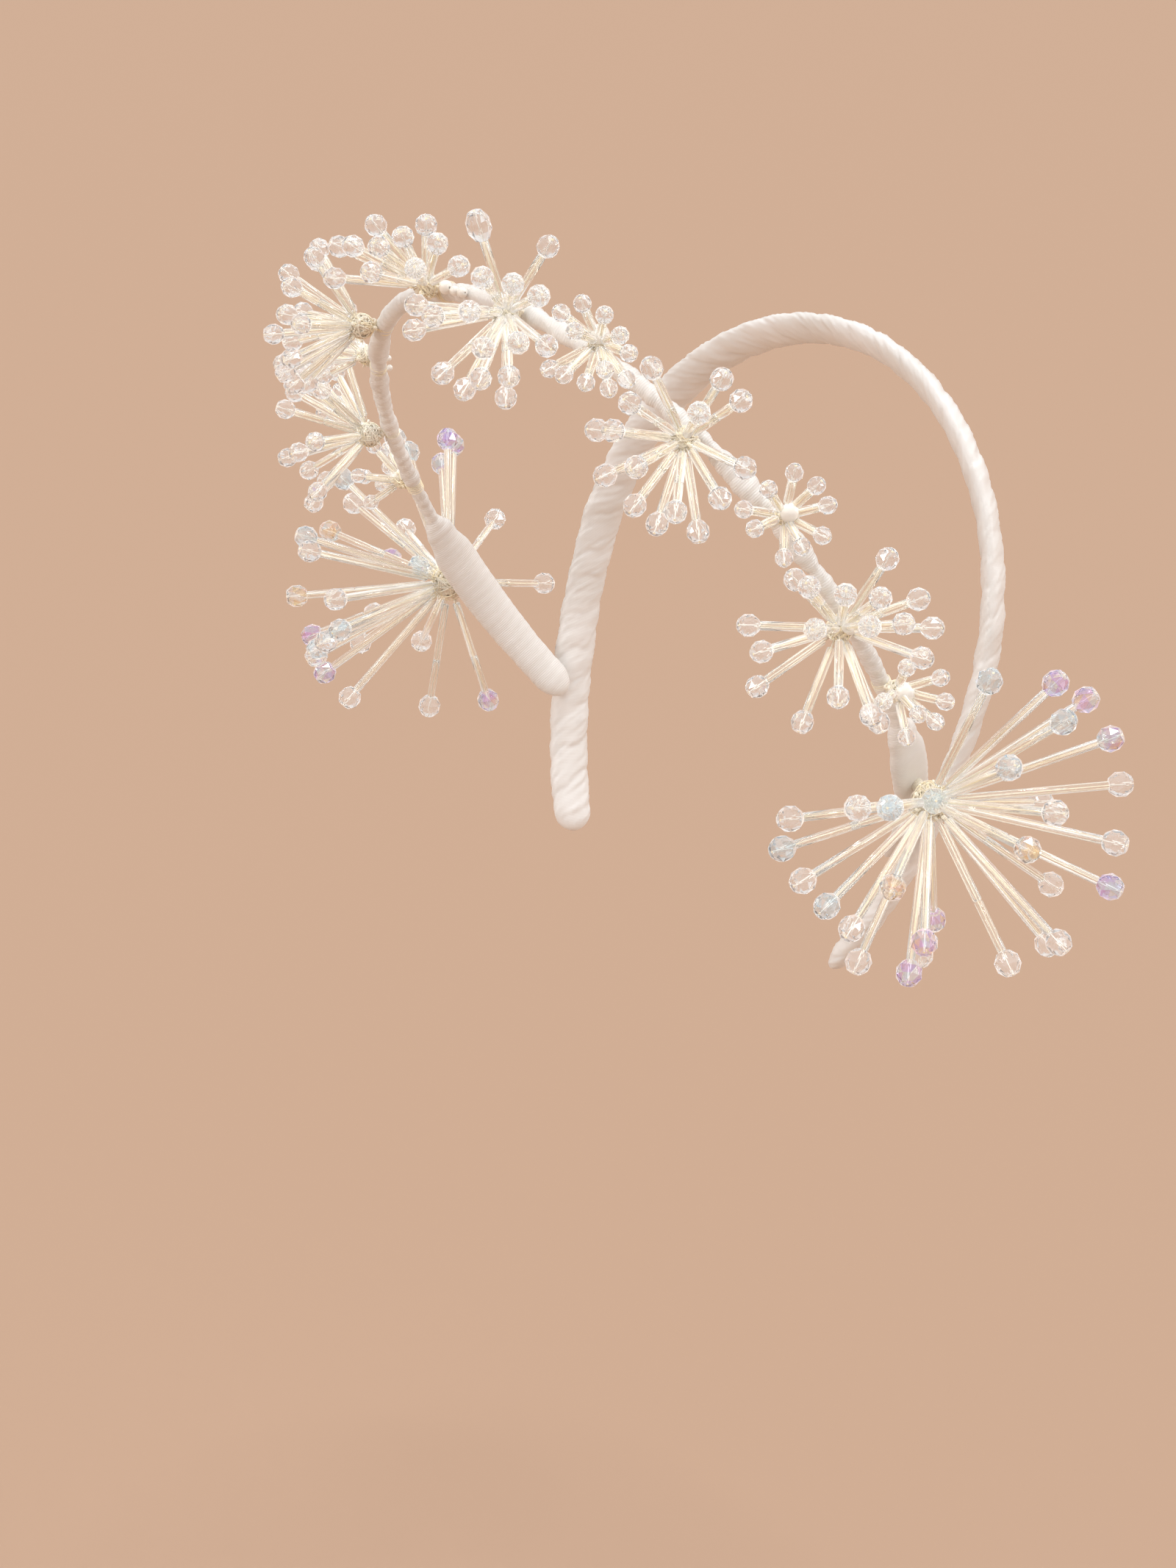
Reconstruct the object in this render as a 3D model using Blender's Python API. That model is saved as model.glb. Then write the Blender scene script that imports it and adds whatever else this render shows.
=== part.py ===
"""Bridal tiara of two satin-wrapped bands, dressed with bursts of glass rods tipped with cut crystals.

The front band runs over the crown from side to side and carries the bursts. The back band runs over the back
of the crown, and each of its legs takes the front band's end and goes on down behind the ear. The frame has +X
to the wearer's left, -Y to the face and +Z up, with its origin under the top of the front band, where a head
carries it.
"""

from __future__ import annotations

import math
from dataclasses import dataclass

import bmesh
import bpy
from mathutils import Matrix, Vector

MM = 0.001
CLEARANCE = 0.3
MERGE_DISTANCE = 0.01

# Half the breadth, depth and height of the round form that both bands follow
FORM = Vector((83.7, 95.5, 86.2)) * MM

# Both bands: an oval section whose rounded ends shrink over a few turns of a quarter circle, in degrees
BAND_SIDES = 8
CORNER = 1 / math.cos(math.pi / BAND_SIDES)
TIP_ROUNDING = 6.0
TIP_TURNS = (68.0, 40.0, 0.0)

# Back band: a flat padded hoop
BACK_WIDTH = 10.0
BACK_THICKNESS = 5.2
BACK_TIP_ANGLE = 135.0
BACK_STEP = 7.5

# Front band: a wrapped wire that swells into pads
FRONT_END_ANGLE = 134.0
FRONT_STEP = 8.0
FRONT_CORE = 3.4
FRONT_SWELL = 0.1

# Rods, crystals and pearls
BALL_SUBDIVISIONS = 2
ROD_RADIUS = 1.0
ROD_NECK_RADIUS = 0.55
ROD_START = 0.6
TABLE_SHARE = 0.45
CROWN_SHARE = 0.9


@dataclass(frozen=True)
class Hoop:
    """A plane curve round the head, an ellipse above its widest level and a longer one below it."""

    centre: Vector
    tilt_deg: float
    half_width: float
    rise: float
    drop: float

    def point(self, angle: float) -> Vector:
        """Point at an angle from the top, in degrees, positive towards the wearer's left."""
        turn = math.radians(angle)
        tilt = math.radians(self.tilt_deg)
        up = Vector((0, -math.sin(tilt), math.cos(tilt)))
        height = self.rise if math.cos(turn) > 0 else self.drop
        across = Vector((self.half_width * math.sin(turn), 0, 0))
        return (self.centre + across + up * height * math.cos(turn)) * MM

    def axes(self, angle: float) -> tuple[Vector, Vector, Vector]:
        """Directions out from the head, along the band to the left join, and forwards across the band."""
        along = (self.point(angle + 1) - self.point(angle - 1)).normalized()
        place = self.point(angle)
        out = Vector(place[i] / FORM[i] ** 2 for i in range(3))
        out = (out - along * out.dot(along)).normalized()
        return out, along, along.cross(out)


FRONT = Hoop(centre=Vector((0, 7.1, 3.0)), tilt_deg=27.6, half_width=83.4, rise=87.7, drop=87.7)
BACK = Hoop(centre=Vector((0, 52.7, -14.8)), tilt_deg=-19.0, half_width=68.3, rise=71.0, drop=105.0)


@dataclass(frozen=True)
class Width:
    """Width of the front band at one angle from its top."""

    angle: float
    width: float


FRONT_WIDTHS = (
    Width(0, 3.8),
    Width(40, 3.6),
    Width(44, 3.4),
    Width(50, 5.4),
    Width(52, 4.8),
    Width(54, 3.0),
    Width(57, 3.4),
    Width(60, 4.6),
    Width(66, 3.3),
    Width(84, 3.3),
    Width(93, 2.8),
    Width(98, 8.0),
    Width(103, 11.0),
    Width(FRONT_END_ANGLE, 9.0),
)


@dataclass(frozen=True)
class Tier:
    """Rods of one burst that share a lean from straight out and a length to the crystal's centre.

    Clocks are in degrees round the burst, 0 towards the side join and 90 towards the face. A crystal radius
    replaces the burst's own, and a stretch makes the crystal longer than it is wide.
    """

    lean: float
    length: float
    clocks: tuple[float, ...]
    crystal: float = 0.0
    stretch: float = 1.0


@dataclass(frozen=True)
class Burst:
    """A hub with its rods: how far the hub sits in front of the band's middle, its sizes and its tiers.

    A pearl radius puts a pearl on the hub, and sides counts the facets round each rod and crystal.
    """

    forward: float
    hub_radius: float
    crystal_radius: float
    tiers: tuple[Tier, ...]
    pearl_radius: float = 0.0
    sides: int = 6


LARGE = Burst(
    forward=3.0,
    hub_radius=5.0,
    crystal_radius=3.0,
    sides=8,
    tiers=(
        Tier(6, 45, (280,)),
        Tier(17, 43, (50, 250)),
        Tier(32, 41, (14, 64)),
        Tier(34, 40, (158, 184)),
        Tier(47, 43, (240, 282)),
        Tier(55, 40, (100, 180, 216, 338)),
        Tier(60, 42, (84, 236)),
        Tier(63, 9, (158,)),
        Tier(68, 40, (122, 228)),
        Tier(72, 36, (38, 312)),
        Tier(78, 40, (77, 99, 146, 200)),
        Tier(82, 36, (14,)),
        Tier(87, 40, (104, 141)),
        Tier(97, 40, (108,)),
        Tier(108, 40, (113, 125)),
    ),
)
MIDDLE_3 = Burst(
    forward=4.7,
    hub_radius=3.4,
    crystal_radius=2.5,
    pearl_radius=1.4,
    tiers=(
        Tier(6, 22, (170,)),
        Tier(19, 22, (2, 246, 306)),
        Tier(25, 22, (136, 176)),
        Tier(42, 22, (160, 214)),
        Tier(54, 22, (48, 80, 131)),
        Tier(62, 22, (34, 157)),
        Tier(76, 20, (162,)),
        Tier(89, 22, (68, 118)),
        Tier(100, 22, (132,)),
        Tier(106, 22, (95,)),
    ),
)
MIDDLE_2 = Burst(
    forward=4.7,
    hub_radius=3.4,
    crystal_radius=2.5,
    tiers=(
        Tier(9, 21, (262,)),
        Tier(17, 21, (76, 330)),
        Tier(38, 21, (164,)),
        Tier(48, 21, (15, 132)),
        Tier(63, 21, (34, 92, 120)),
        Tier(76, 21, (58, 128)),
        Tier(86, 21, (80, 104)),
        Tier(92, 21, (40, 64)),
    ),
)
MIDDLE_1 = Burst(
    forward=4.7,
    hub_radius=3.4,
    crystal_radius=2.5,
    tiers=(
        Tier(14, 20, (195,), crystal=2.8, stretch=1.3),
        Tier(37, 22, (50, 336)),
        Tier(44, 22, (26,)),
        Tier(55, 22, (12, 60)),
        Tier(61, 22, (87, 106)),
        Tier(75, 22, (33, 53, 104)),
        Tier(82, 22, (18,)),
        Tier(94, 22, (42, 58, 82)),
        Tier(103, 22, (70,)),
        Tier(110, 22, (47,)),
    ),
)
MIDDLE_0 = Burst(
    forward=4.1,
    hub_radius=3.4,
    crystal_radius=2.5,
    tiers=(
        Tier(30, 22, (130,)),
        Tier(40, 22, (80, 104)),
        Tier(45, 22, (132, 153, 174)),
        Tier(58, 22, (85, 123, 172)),
        Tier(65, 22, (152,)),
        Tier(75, 22, (176,)),
    ),
)
SPRAY_1 = Burst(
    forward=0.5,
    hub_radius=2.4,
    crystal_radius=2.0,
    pearl_radius=2.2,
    tiers=(
        Tier(18, 12.5, (36, 127)),
        Tier(41, 12.5, (18, 88, 130)),
        Tier(60, 12.5, (14,)),
        Tier(71, 12.5, (42,)),
        Tier(87, 12.5, (20, 60, 83)),
        Tier(94, 12.5, (38, 103)),
    ),
)
SPRAY_2 = Burst(
    forward=0.5,
    hub_radius=2.4,
    crystal_radius=2.0,
    pearl_radius=2.2,
    tiers=(
        Tier(21, 11.5, (247, 315)),
        Tier(38, 11.5, (14, 203)),
        Tier(48, 11.5, (48, 154)),
        Tier(68, 11.5, (60, 108)),
        Tier(76, 11.5, (132,)),
    ),
)
SPRAY_3 = Burst(
    forward=0.5,
    hub_radius=2.4,
    crystal_radius=2.0,
    pearl_radius=2.2,
    tiers=(
        Tier(17, 11.5, (316,)),
        Tier(26, 11.5, (20, 97, 237)),
        Tier(52, 11.5, (60, 178)),
        Tier(62, 11.5, (126,)),
    ),
)


@dataclass(frozen=True)
class Place:
    """Where a burst sits: its node's name, its shape, its angle from the band's top and its side."""

    name: str
    burst: Burst
    angle: float
    side: int


PLACES = (
    Place("burst_centre", MIDDLE_1, 6.3, 1),
    Place("burst_inner_right", MIDDLE_0, 13.3, -1),
    Place("spray_inner_left", SPRAY_1, 21.8, 1),
    Place("burst_upper_left", MIDDLE_2, 40.0, 1),
    Place("burst_upper_right", MIDDLE_2, 42.0, -1),
    Place("spray_upper_left", SPRAY_2, 56.5, 1),
    Place("spray_upper_right", SPRAY_2, 56.5, -1),
    Place("burst_side_left", MIDDLE_3, 73.5, 1),
    Place("burst_side_right", MIDDLE_3, 73.5, -1),
    Place("spray_side_left", SPRAY_3, 86.8, 1),
    Place("spray_side_right", SPRAY_3, 86.8, -1),
    Place("burst_large_left", LARGE, 107.5, 1),
    Place("burst_large_right", LARGE, 107.5, -1),
)


@dataclass(frozen=True)
class Pearl:
    """A pearl on the front band: its node's name, its angle from the top towards the left and its radius."""

    name: str
    angle: float
    radius: float


# How far in front of the band's middle the row of pearls sits
PEARL_FORWARD = 2.6

PEARLS = (
    Pearl("pearl_outer", -9.7, 1.6),
    Pearl("pearl_middle", -7.6, 1.2),
    Pearl("pearl_inner", -5.7, 1.2),
)


def front_width(angle: float) -> float:
    """Width of the front band, eased between the rows of its table."""
    angle = abs(angle)
    for low, high in zip(FRONT_WIDTHS, FRONT_WIDTHS[1:]):
        if angle <= high.angle:
            share = (angle - low.angle) / (high.angle - low.angle)
            eased = 0.5 - 0.5 * math.cos(math.pi * share)
            return low.width + (high.width - low.width) * eased
    return FRONT_WIDTHS[-1].width


def front_thickness(angle: float) -> float:
    """Thickness of the front band, a little more where a pad swells."""
    return FRONT_CORE + FRONT_SWELL * front_width(angle)


def seat(angle: float, forward: float, radius: float) -> Vector:
    """Centre of a ball that rests on the front band, set in front of the band's middle by a distance."""
    out, _, ahead = FRONT.axes(angle)
    thickness = front_thickness(angle)
    flat_half = max(front_width(angle) - thickness, 0) / 2
    beyond = max(abs(forward) - flat_half, 0)
    reach = thickness / 2 + CLEARANCE + radius
    return FRONT.point(angle) + (out * math.sqrt(reach ** 2 - beyond ** 2) + ahead * forward) * MM


def head_centre() -> Vector:
    """Centre of the head's form, placed so that the underside of the front band's top is the origin."""
    out = FRONT.axes(0)[0]
    return out * front_thickness(0) / 2 * MM - FRONT.point(0)


def make_material(name: str, colour: tuple[float, float, float], roughness: float, alpha: float = 1.0):
    """A Principled material of one colour."""
    material = bpy.data.materials.new(name)
    material.use_nodes = True
    shader = material.node_tree.nodes["Principled BSDF"]
    shader.inputs["Base Color"].default_value = (*colour, 1.0)
    shader.inputs["Roughness"].default_value = roughness
    shader.inputs["Metallic"].default_value = 0.0
    shader.inputs["Alpha"].default_value = alpha
    return material


def add_object(name: str, shape: bmesh.types.BMesh, material) -> bpy.types.Object:
    """Turn a bmesh into a named object of the scene with its faces pointing out."""
    bmesh.ops.recalc_face_normals(shape, faces=shape.faces)
    mesh = bpy.data.meshes.new(name)
    shape.to_mesh(mesh)
    shape.free()
    mesh.materials.append(material)
    result = bpy.data.objects.new(name, mesh)
    bpy.context.scene.collection.objects.link(result)
    return result


def add_band(name: str, hoop: Hoop, stations: list[float], size_at, material) -> bpy.types.Object:
    """Loft an oval section along a hoop, with both ends rounded."""
    shape = bmesh.new()
    origin = head_centre()
    rings = []
    for angle, share in rounded_stations(hoop, stations):
        width, thickness = size_at(angle)
        out, _, forward = hoop.axes(angle)
        centre = hoop.point(angle) + origin
        ring = []
        for k in range(BAND_SIDES):
            turn = math.tau * (k + 0.5) / BAND_SIDES
            offset = out * math.sin(turn) * thickness + forward * math.cos(turn) * width
            ring.append(shape.verts.new(centre + offset * share * CORNER / 2 * MM))
        rings.append(ring)
    for low, high in zip(rings, rings[1:]):
        for k in range(BAND_SIDES):
            after = (k + 1) % BAND_SIDES
            shape.faces.new((low[k], low[after], high[after], high[k]))
    shape.faces.new(rings[0])
    shape.faces.new(rings[-1])
    return add_object(name, shape, material)


def rounded_stations(hoop: Hoop, stations: list[float]) -> list[tuple[float, float]]:
    """Angles along a band with the share of its full section that each has, smaller towards a rounded end."""
    ends = []
    for end, inward in ((stations[0], 1), (stations[-1], -1)):
        per_degree = (hoop.point(end + inward) - hoop.point(end)).length / MM
        reach = TIP_ROUNDING / per_degree
        turns = [math.radians(turn) for turn in TIP_TURNS]
        ends.append([(end + inward * reach * (1 - math.sin(turn)), math.cos(turn)) for turn in turns])
    first, last = ends
    middle = [(angle, 1.0) for angle in stations if first[-1][0] < angle < last[-1][0]]
    return first + middle + last[::-1]


def mirrored_stations(angles: list[float], step: float) -> list[float]:
    """Equal steps no longer than the given one between angles from the top, on both sides of the head."""
    left = []
    for low, high in zip(angles, angles[1:]):
        count = math.ceil((high - low) / step)
        left += [low + (high - low) * (k + 1) / count for k in range(count)]
    return [-angle for angle in reversed(left)] + [angles[0]] + left


def add_back_band(material) -> bpy.types.Object:
    """Padded band over the back of the crown with a leg down behind each ear."""
    return add_band("back_band", BACK, mirrored_stations([0, BACK_TIP_ANGLE], BACK_STEP),
                    lambda angle: (BACK_WIDTH, BACK_THICKNESS), material)


def add_front_band(material) -> bpy.types.Object:
    """Wrapped band over the front of the crown, from the right leg to the left leg."""
    return add_band("front_band", FRONT, mirrored_stations([row.angle for row in FRONT_WIDTHS], FRONT_STEP),
                    lambda angle: (front_width(angle), front_thickness(angle)), material)


def hub_frame(place: Place) -> tuple[Vector, tuple[Vector, Vector, Vector]]:
    """Centre of a burst's hub and its directions out, along and forwards, on its own side of the head."""
    out, along, forward = FRONT.axes(place.angle)
    centre = seat(place.angle, place.burst.forward, place.burst.hub_radius)
    flip = Matrix.Diagonal((place.side, 1, 1)).to_3x3()
    return flip @ centre + head_centre(), (flip @ out, flip @ along, flip @ forward)


def rod_rows(place: Place) -> list[tuple[Vector, Tier]]:
    """Direction and tier of every rod of a burst."""
    _, (out, along, forward) = hub_frame(place)
    rows = []
    for tier in place.burst.tiers:
        lean = math.radians(tier.lean)
        for clock in tier.clocks:
            turn = math.radians(clock)
            sideways = along * math.cos(turn) + forward * math.sin(turn)
            rows.append((out * math.cos(lean) + sideways * math.sin(lean), tier))
    return rows


def turned(profile: list[tuple[float, float]], sides: int) -> bmesh.types.BMesh:
    """Spin a profile of radius and height pairs round +Z and close its two flat ends."""
    shape = bmesh.new()
    points = [shape.verts.new((radius, 0, height)) for radius, height in profile]
    edges = [shape.edges.new(pair) for pair in zip(points, points[1:])]
    bmesh.ops.spin(shape, geom=points + edges, cent=(0, 0, 0), axis=(0, 0, 1), dvec=(0, 0, 0),
                   angle=math.tau, steps=sides, use_merge=True, use_duplicate=False)
    bmesh.ops.remove_doubles(shape, verts=shape.verts, dist=MERGE_DISTANCE * MM)
    bmesh.ops.holes_fill(shape, edges=[edge for edge in shape.edges if edge.is_boundary], sides=sides)
    return shape


def add_rod(hub: Vector, direction: Vector, tier: Tier, burst: Burst, material) -> bpy.types.Object:
    """A glass rod that leaves the hub and ends in a cut crystal with a flat table."""
    radius = tier.crystal or burst.crystal_radius
    reach = radius * CROWN_SHARE * tier.stretch
    profile = [
        (ROD_NECK_RADIUS, burst.hub_radius * ROD_START),
        (ROD_RADIUS, tier.length - reach),
        (radius, tier.length),
        (radius * TABLE_SHARE, tier.length + reach),
    ]
    shape = turned([(r * MM, h * MM) for r, h in profile], burst.sides)
    pose = Matrix.Translation(hub) @ direction.to_track_quat("Z", "Y").to_matrix().to_4x4()
    bmesh.ops.transform(shape, matrix=pose, verts=shape.verts)
    return add_object("rod", shape, material)


def add_ball(name: str, centre: Vector, radius: float, material) -> bpy.types.Object:
    """A faceted ball."""
    shape = bmesh.new()
    bmesh.ops.create_icosphere(shape, subdivisions=BALL_SUBDIVISIONS, radius=radius * MM,
                               matrix=Matrix.Translation(centre))
    return add_object(name, shape, material)


def fuse(body: bpy.types.Object, pieces: list[bpy.types.Object]) -> None:
    """Unite the pieces with the body, which becomes one closed mesh."""
    group = bpy.data.collections.new("pieces")
    bpy.context.scene.collection.children.link(group)
    for piece in pieces:
        bpy.context.scene.collection.objects.unlink(piece)
        group.objects.link(piece)
    union = body.modifiers.new("union", "BOOLEAN")
    union.operation = "UNION"
    union.operand_type = "COLLECTION"
    union.collection = group
    union.solver = "EXACT"
    bpy.context.view_layer.update()
    fused = bpy.data.meshes.new_from_object(body.evaluated_get(bpy.context.evaluated_depsgraph_get()))
    body.modifiers.remove(union)
    body.data = fused
    for piece in pieces:
        bpy.data.objects.remove(piece, do_unlink=True)
    bpy.data.collections.remove(group)


def add_burst(place: Place, material) -> bpy.types.Object:
    """A hub with all its rods and crystals, and a pearl on top where the burst has one, as one solid."""
    burst = place.burst
    hub, (out, _, _) = hub_frame(place)
    body = add_ball(place.name, hub, burst.hub_radius, material)
    pieces = [add_rod(hub, direction, tier, burst, material) for direction, tier in rod_rows(place)]
    if burst.pearl_radius:
        pieces.append(add_ball("pearl", hub + out * burst.hub_radius * MM, burst.pearl_radius, material))
    fuse(body, pieces)
    return body


def add_pearl(row: Pearl, material) -> bpy.types.Object:
    """A pearl seated on the front band, on the side towards the face."""
    centre = seat(row.angle, PEARL_FORWARD, row.radius) + head_centre()
    return add_ball(row.name, centre, row.radius, material)


def main() -> None:
    """Clear the scene and model every piece of the tiara."""
    for item in list(bpy.data.objects):
        bpy.data.objects.remove(item, do_unlink=True)
    satin = make_material("satin", (0.86, 0.81, 0.74), 0.35)
    glass = make_material("champagne_glass", (0.93, 0.86, 0.76), 0.05, alpha=0.5)
    add_back_band(satin)
    add_front_band(satin)
    for place in PLACES:
        add_burst(place, glass)
    pearly = make_material("pearl", (0.93, 0.9, 0.84), 0.2)
    for row in PEARLS:
        add_pearl(row, pearly)


if __name__ == "__main__":
    main()
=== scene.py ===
"""Looks of a bridal tiara: wound satin bands, bursts of glass tubes tipped with cut crystals, and pearls.

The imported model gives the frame: metres, +X to the wearer's left, -Y to the face, +Z up, with the origin
under the top of the front band. Every piece is modelled in that frame and rides on the model's one body.
Sizes are in millimetres and angles in degrees, except where a docstring says otherwise.
"""
import logging
import math
import random
from bisect import bisect_right
from dataclasses import dataclass, replace
from enum import Enum
from functools import cache

import bmesh
import bpy
from bmesh.types import BMEdge, BMesh, BMFace
from bpy.types import Material, Mesh, Node, NodeSocket, NodeTree, Object
from mathutils import Matrix, Vector, noise


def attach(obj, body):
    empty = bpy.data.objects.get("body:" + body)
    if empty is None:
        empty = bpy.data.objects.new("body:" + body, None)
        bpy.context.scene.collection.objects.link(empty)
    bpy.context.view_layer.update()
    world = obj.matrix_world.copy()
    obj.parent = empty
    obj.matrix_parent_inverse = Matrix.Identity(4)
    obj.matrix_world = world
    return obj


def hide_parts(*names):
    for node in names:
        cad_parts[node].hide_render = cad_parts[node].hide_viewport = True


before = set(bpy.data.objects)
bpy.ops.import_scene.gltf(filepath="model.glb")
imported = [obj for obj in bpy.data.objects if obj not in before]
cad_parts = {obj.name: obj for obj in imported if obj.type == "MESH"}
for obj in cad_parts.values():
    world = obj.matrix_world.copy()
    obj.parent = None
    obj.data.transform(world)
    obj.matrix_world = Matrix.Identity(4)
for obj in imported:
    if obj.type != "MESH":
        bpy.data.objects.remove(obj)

LOG = logging.getLogger("tiara")
MM = 0.001
BODY = "root"
CLEARANCE = 0.3
WELD = 0.002
HEAD_FORM = Vector((83.7, 95.5, 86.2)) * MM

Colour = tuple[float, float, float]
Inputs = dict[str | int, float | tuple[float, ...]]
WHITE = (1.0, 1.0, 1.0)
MIX_A = 6
MIX_B = 7
MIX_RESULT = 2


class Side(Enum):
    """Side of the wearer's head, with the sign of its X coordinates."""

    LEFT = 1
    RIGHT = -1


class Slot(Enum):
    """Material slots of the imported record."""

    SATIN = "satin"
    GLASS = "champagne_glass"
    PEARL = "pearl"


class Carries(Enum):
    """What a socket of a shader node group carries."""

    NUMBER = "NodeSocketFloat"
    COLOUR = "NodeSocketColor"
    VECTOR = "NodeSocketVector"


class Follows(Enum):
    """What a pattern follows, as a node and its output: Object coordinates or the piece's own UV map."""

    OBJECT = ("ShaderNodeTexCoord", "Object")
    UV_MAP = ("ShaderNodeUVMap", "UV")


class Nodes:
    """A shader's nodes, with short ways to add and join them."""

    def __init__(self, tree: NodeTree) -> None:
        """Keep the node tree."""
        self.tree = tree

    def add(self, kind: str, inputs: Inputs | None = None, **settings: object) -> Node:
        """Add a node.

        Args:
            kind: Blender's node type.
            inputs: Values of its input sockets, by name or number.
            **settings: Its other settings.

        Returns:
            The node.
        """
        node = self.tree.nodes.new(kind)
        for name, value in settings.items():
            setattr(node, name, value)
        set_inputs(node, inputs or {})
        return node

    def link(self, source: NodeSocket, target: NodeSocket) -> None:
        """Join an output to an input."""
        self.tree.links.new(source, target)

    def place(self, follows: Follows) -> NodeSocket:
        """Give the socket that places a pattern on the piece."""
        kind, output = follows.value
        return self.add(kind).outputs[output]


class ShaderGroup(Nodes):
    """A shader node group with named inputs and outputs, built once."""

    def __init__(self, name: str) -> None:
        """Start an empty group.

        Args:
            name: The group's name.
        """
        super().__init__(bpy.data.node_groups.new(name, "ShaderNodeTree"))
        self.start = self.add("NodeGroupInput")
        self.end = self.add("NodeGroupOutput")

    def takes(self, name: str, kind: Carries, target: NodeSocket) -> None:
        """Add an input of the group and lead it to a socket inside."""
        self.tree.interface.new_socket(name, in_out="INPUT", socket_type=kind.value)
        self.link(self.start.outputs[name], target)

    def gives(self, name: str, kind: Carries, source: NodeSocket) -> None:
        """Add an output of the group and feed it from a socket inside."""
        self.tree.interface.new_socket(name, in_out="OUTPUT", socket_type=kind.value)
        self.link(source, self.end.inputs[name])


def set_inputs(node: Node, values: Inputs) -> None:
    """Set input sockets of a node, found by name or number."""
    for socket, value in values.items():
        node.inputs[socket].default_value = value


def mottle_group() -> NodeTree:
    """Build the cloudy shift between two tones.

    Returns:
        A group with Vector, Scale, Dark and Light in, and Colour out.
    """
    group = ShaderGroup("soft_mottle")
    clouds = group.add("ShaderNodeTexNoise", {"Detail": 3.0})
    spread = group.add("ShaderNodeMapRange", {"From Min": 0.3, "From Max": 0.7})
    blend = group.add("ShaderNodeMix", data_type="RGBA")
    group.takes("Vector", Carries.VECTOR, clouds.inputs["Vector"])
    group.takes("Scale", Carries.NUMBER, clouds.inputs["Scale"])
    group.takes("Dark", Carries.COLOUR, blend.inputs[MIX_A])
    group.takes("Light", Carries.COLOUR, blend.inputs[MIX_B])
    group.link(clouds.outputs["Fac"], spread.inputs["Value"])
    group.link(spread.outputs["Result"], blend.inputs["Factor"])
    group.gives("Colour", Carries.COLOUR, blend.outputs[MIX_RESULT])
    return group.tree


def thread_group() -> NodeTree:
    """Build the fine side-by-side threads of satin and wound yarn.

    Returns:
        A group with Vector, Threads and Waviness in, and Height out.
    """
    group = ShaderGroup("fine_threads")
    wave = group.add("ShaderNodeTexWave", {"Detail": 2.0}, wave_type="BANDS", bands_direction="X",
                     wave_profile="SIN")
    group.takes("Vector", Carries.VECTOR, wave.inputs["Vector"])
    group.takes("Threads", Carries.NUMBER, wave.inputs["Scale"])
    group.takes("Waviness", Carries.NUMBER, wave.inputs["Distortion"])
    group.gives("Height", Carries.NUMBER, wave.outputs["Fac"])
    return group.tree


@dataclass(frozen=True)
class Groups:
    """The shared shader node groups."""

    mottle: NodeTree
    threads: NodeTree


@dataclass(frozen=True)
class Relief:
    """Fine threads as relief: how close, wavy, deep and strong they are, and what they follow."""

    threads: float
    waviness: float
    depth: float
    strength: float = 1.0
    follows: Follows = Follows.UV_MAP

    def carve(self, nodes: Nodes, shader: Node, group: NodeTree) -> None:
        """Give a material the threads' relief.

        Args:
            nodes: The material's nodes.
            shader: Its Principled BSDF.
            group: The shared group of threads.
        """
        threads = nodes.add("ShaderNodeGroup", {"Threads": self.threads, "Waviness": self.waviness},
                            node_tree=group)
        bump = nodes.add("ShaderNodeBump", {"Strength": self.strength, "Distance": self.depth * MM})
        nodes.link(nodes.place(self.follows), threads.inputs["Vector"])
        nodes.link(threads.outputs["Height"], bump.inputs["Height"])
        nodes.link(bump.outputs["Normal"], shader.inputs["Normal"])


@dataclass(frozen=True)
class Finish:
    """What every finish shares: its name, how rough it is, its two tones and the threads it is wound of."""

    name: str
    roughness: float
    dark: Colour = WHITE
    light: Colour = WHITE
    relief: Relief | None = None
    mottle_scale: float = 60.0

    def values(self) -> Inputs:
        """Values of the shader's sockets that are the same all over."""
        raise NotImplementedError

    def colour(self, nodes: Nodes, groups: Groups) -> NodeSocket:
        """Mottle the two tones.

        Args:
            nodes: The material's nodes.
            groups: The shared groups.

        Returns:
            The socket that gives the base colour.
        """
        tones = {"Scale": self.mottle_scale, "Dark": (*self.dark, 1.0), "Light": (*self.light, 1.0)}
        mottle = nodes.add("ShaderNodeGroup", tones, node_tree=groups.mottle)
        nodes.link(nodes.place(Follows.OBJECT), mottle.inputs["Vector"])
        return mottle.outputs["Colour"]

    def make(self, groups: Groups) -> Material:
        """Make the material.

        Args:
            groups: The shared groups.

        Returns:
            The material.
        """
        material = bpy.data.materials.new(self.name)
        material.use_nodes = True
        nodes = Nodes(material.node_tree)
        shader = material.node_tree.nodes["Principled BSDF"]
        set_inputs(shader, {"Roughness": self.roughness, **self.values()})
        nodes.link(self.colour(nodes, groups), shader.inputs["Base Color"])
        if self.relief:
            self.relief.carve(nodes, shader, groups.threads)
        return material


@dataclass(frozen=True)
class Satin(Finish):
    """Wound satin, whose threads the piece's UV map places in millimetres."""

    def values(self) -> Inputs:
        """A soft sheen over a dull gloss."""
        return {"Sheen Weight": 0.35, "Sheen Roughness": 0.35, "Specular IOR Level": 0.45}


@dataclass(frozen=True)
class Metal(Finish):
    """Fine gilt wire under a clear lacquer."""

    def values(self) -> Inputs:
        """Not quite a mirror."""
        return {"Metallic": 0.25}


@dataclass(frozen=True)
class Nacre(Finish):
    """Pearl: a soft body under a clear lustrous coat."""

    def values(self) -> Inputs:
        """A clear coat and a faint sheen."""
        return {"Coat Weight": 0.6, "Coat Roughness": 0.08, "Sheen Weight": 0.2}


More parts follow.
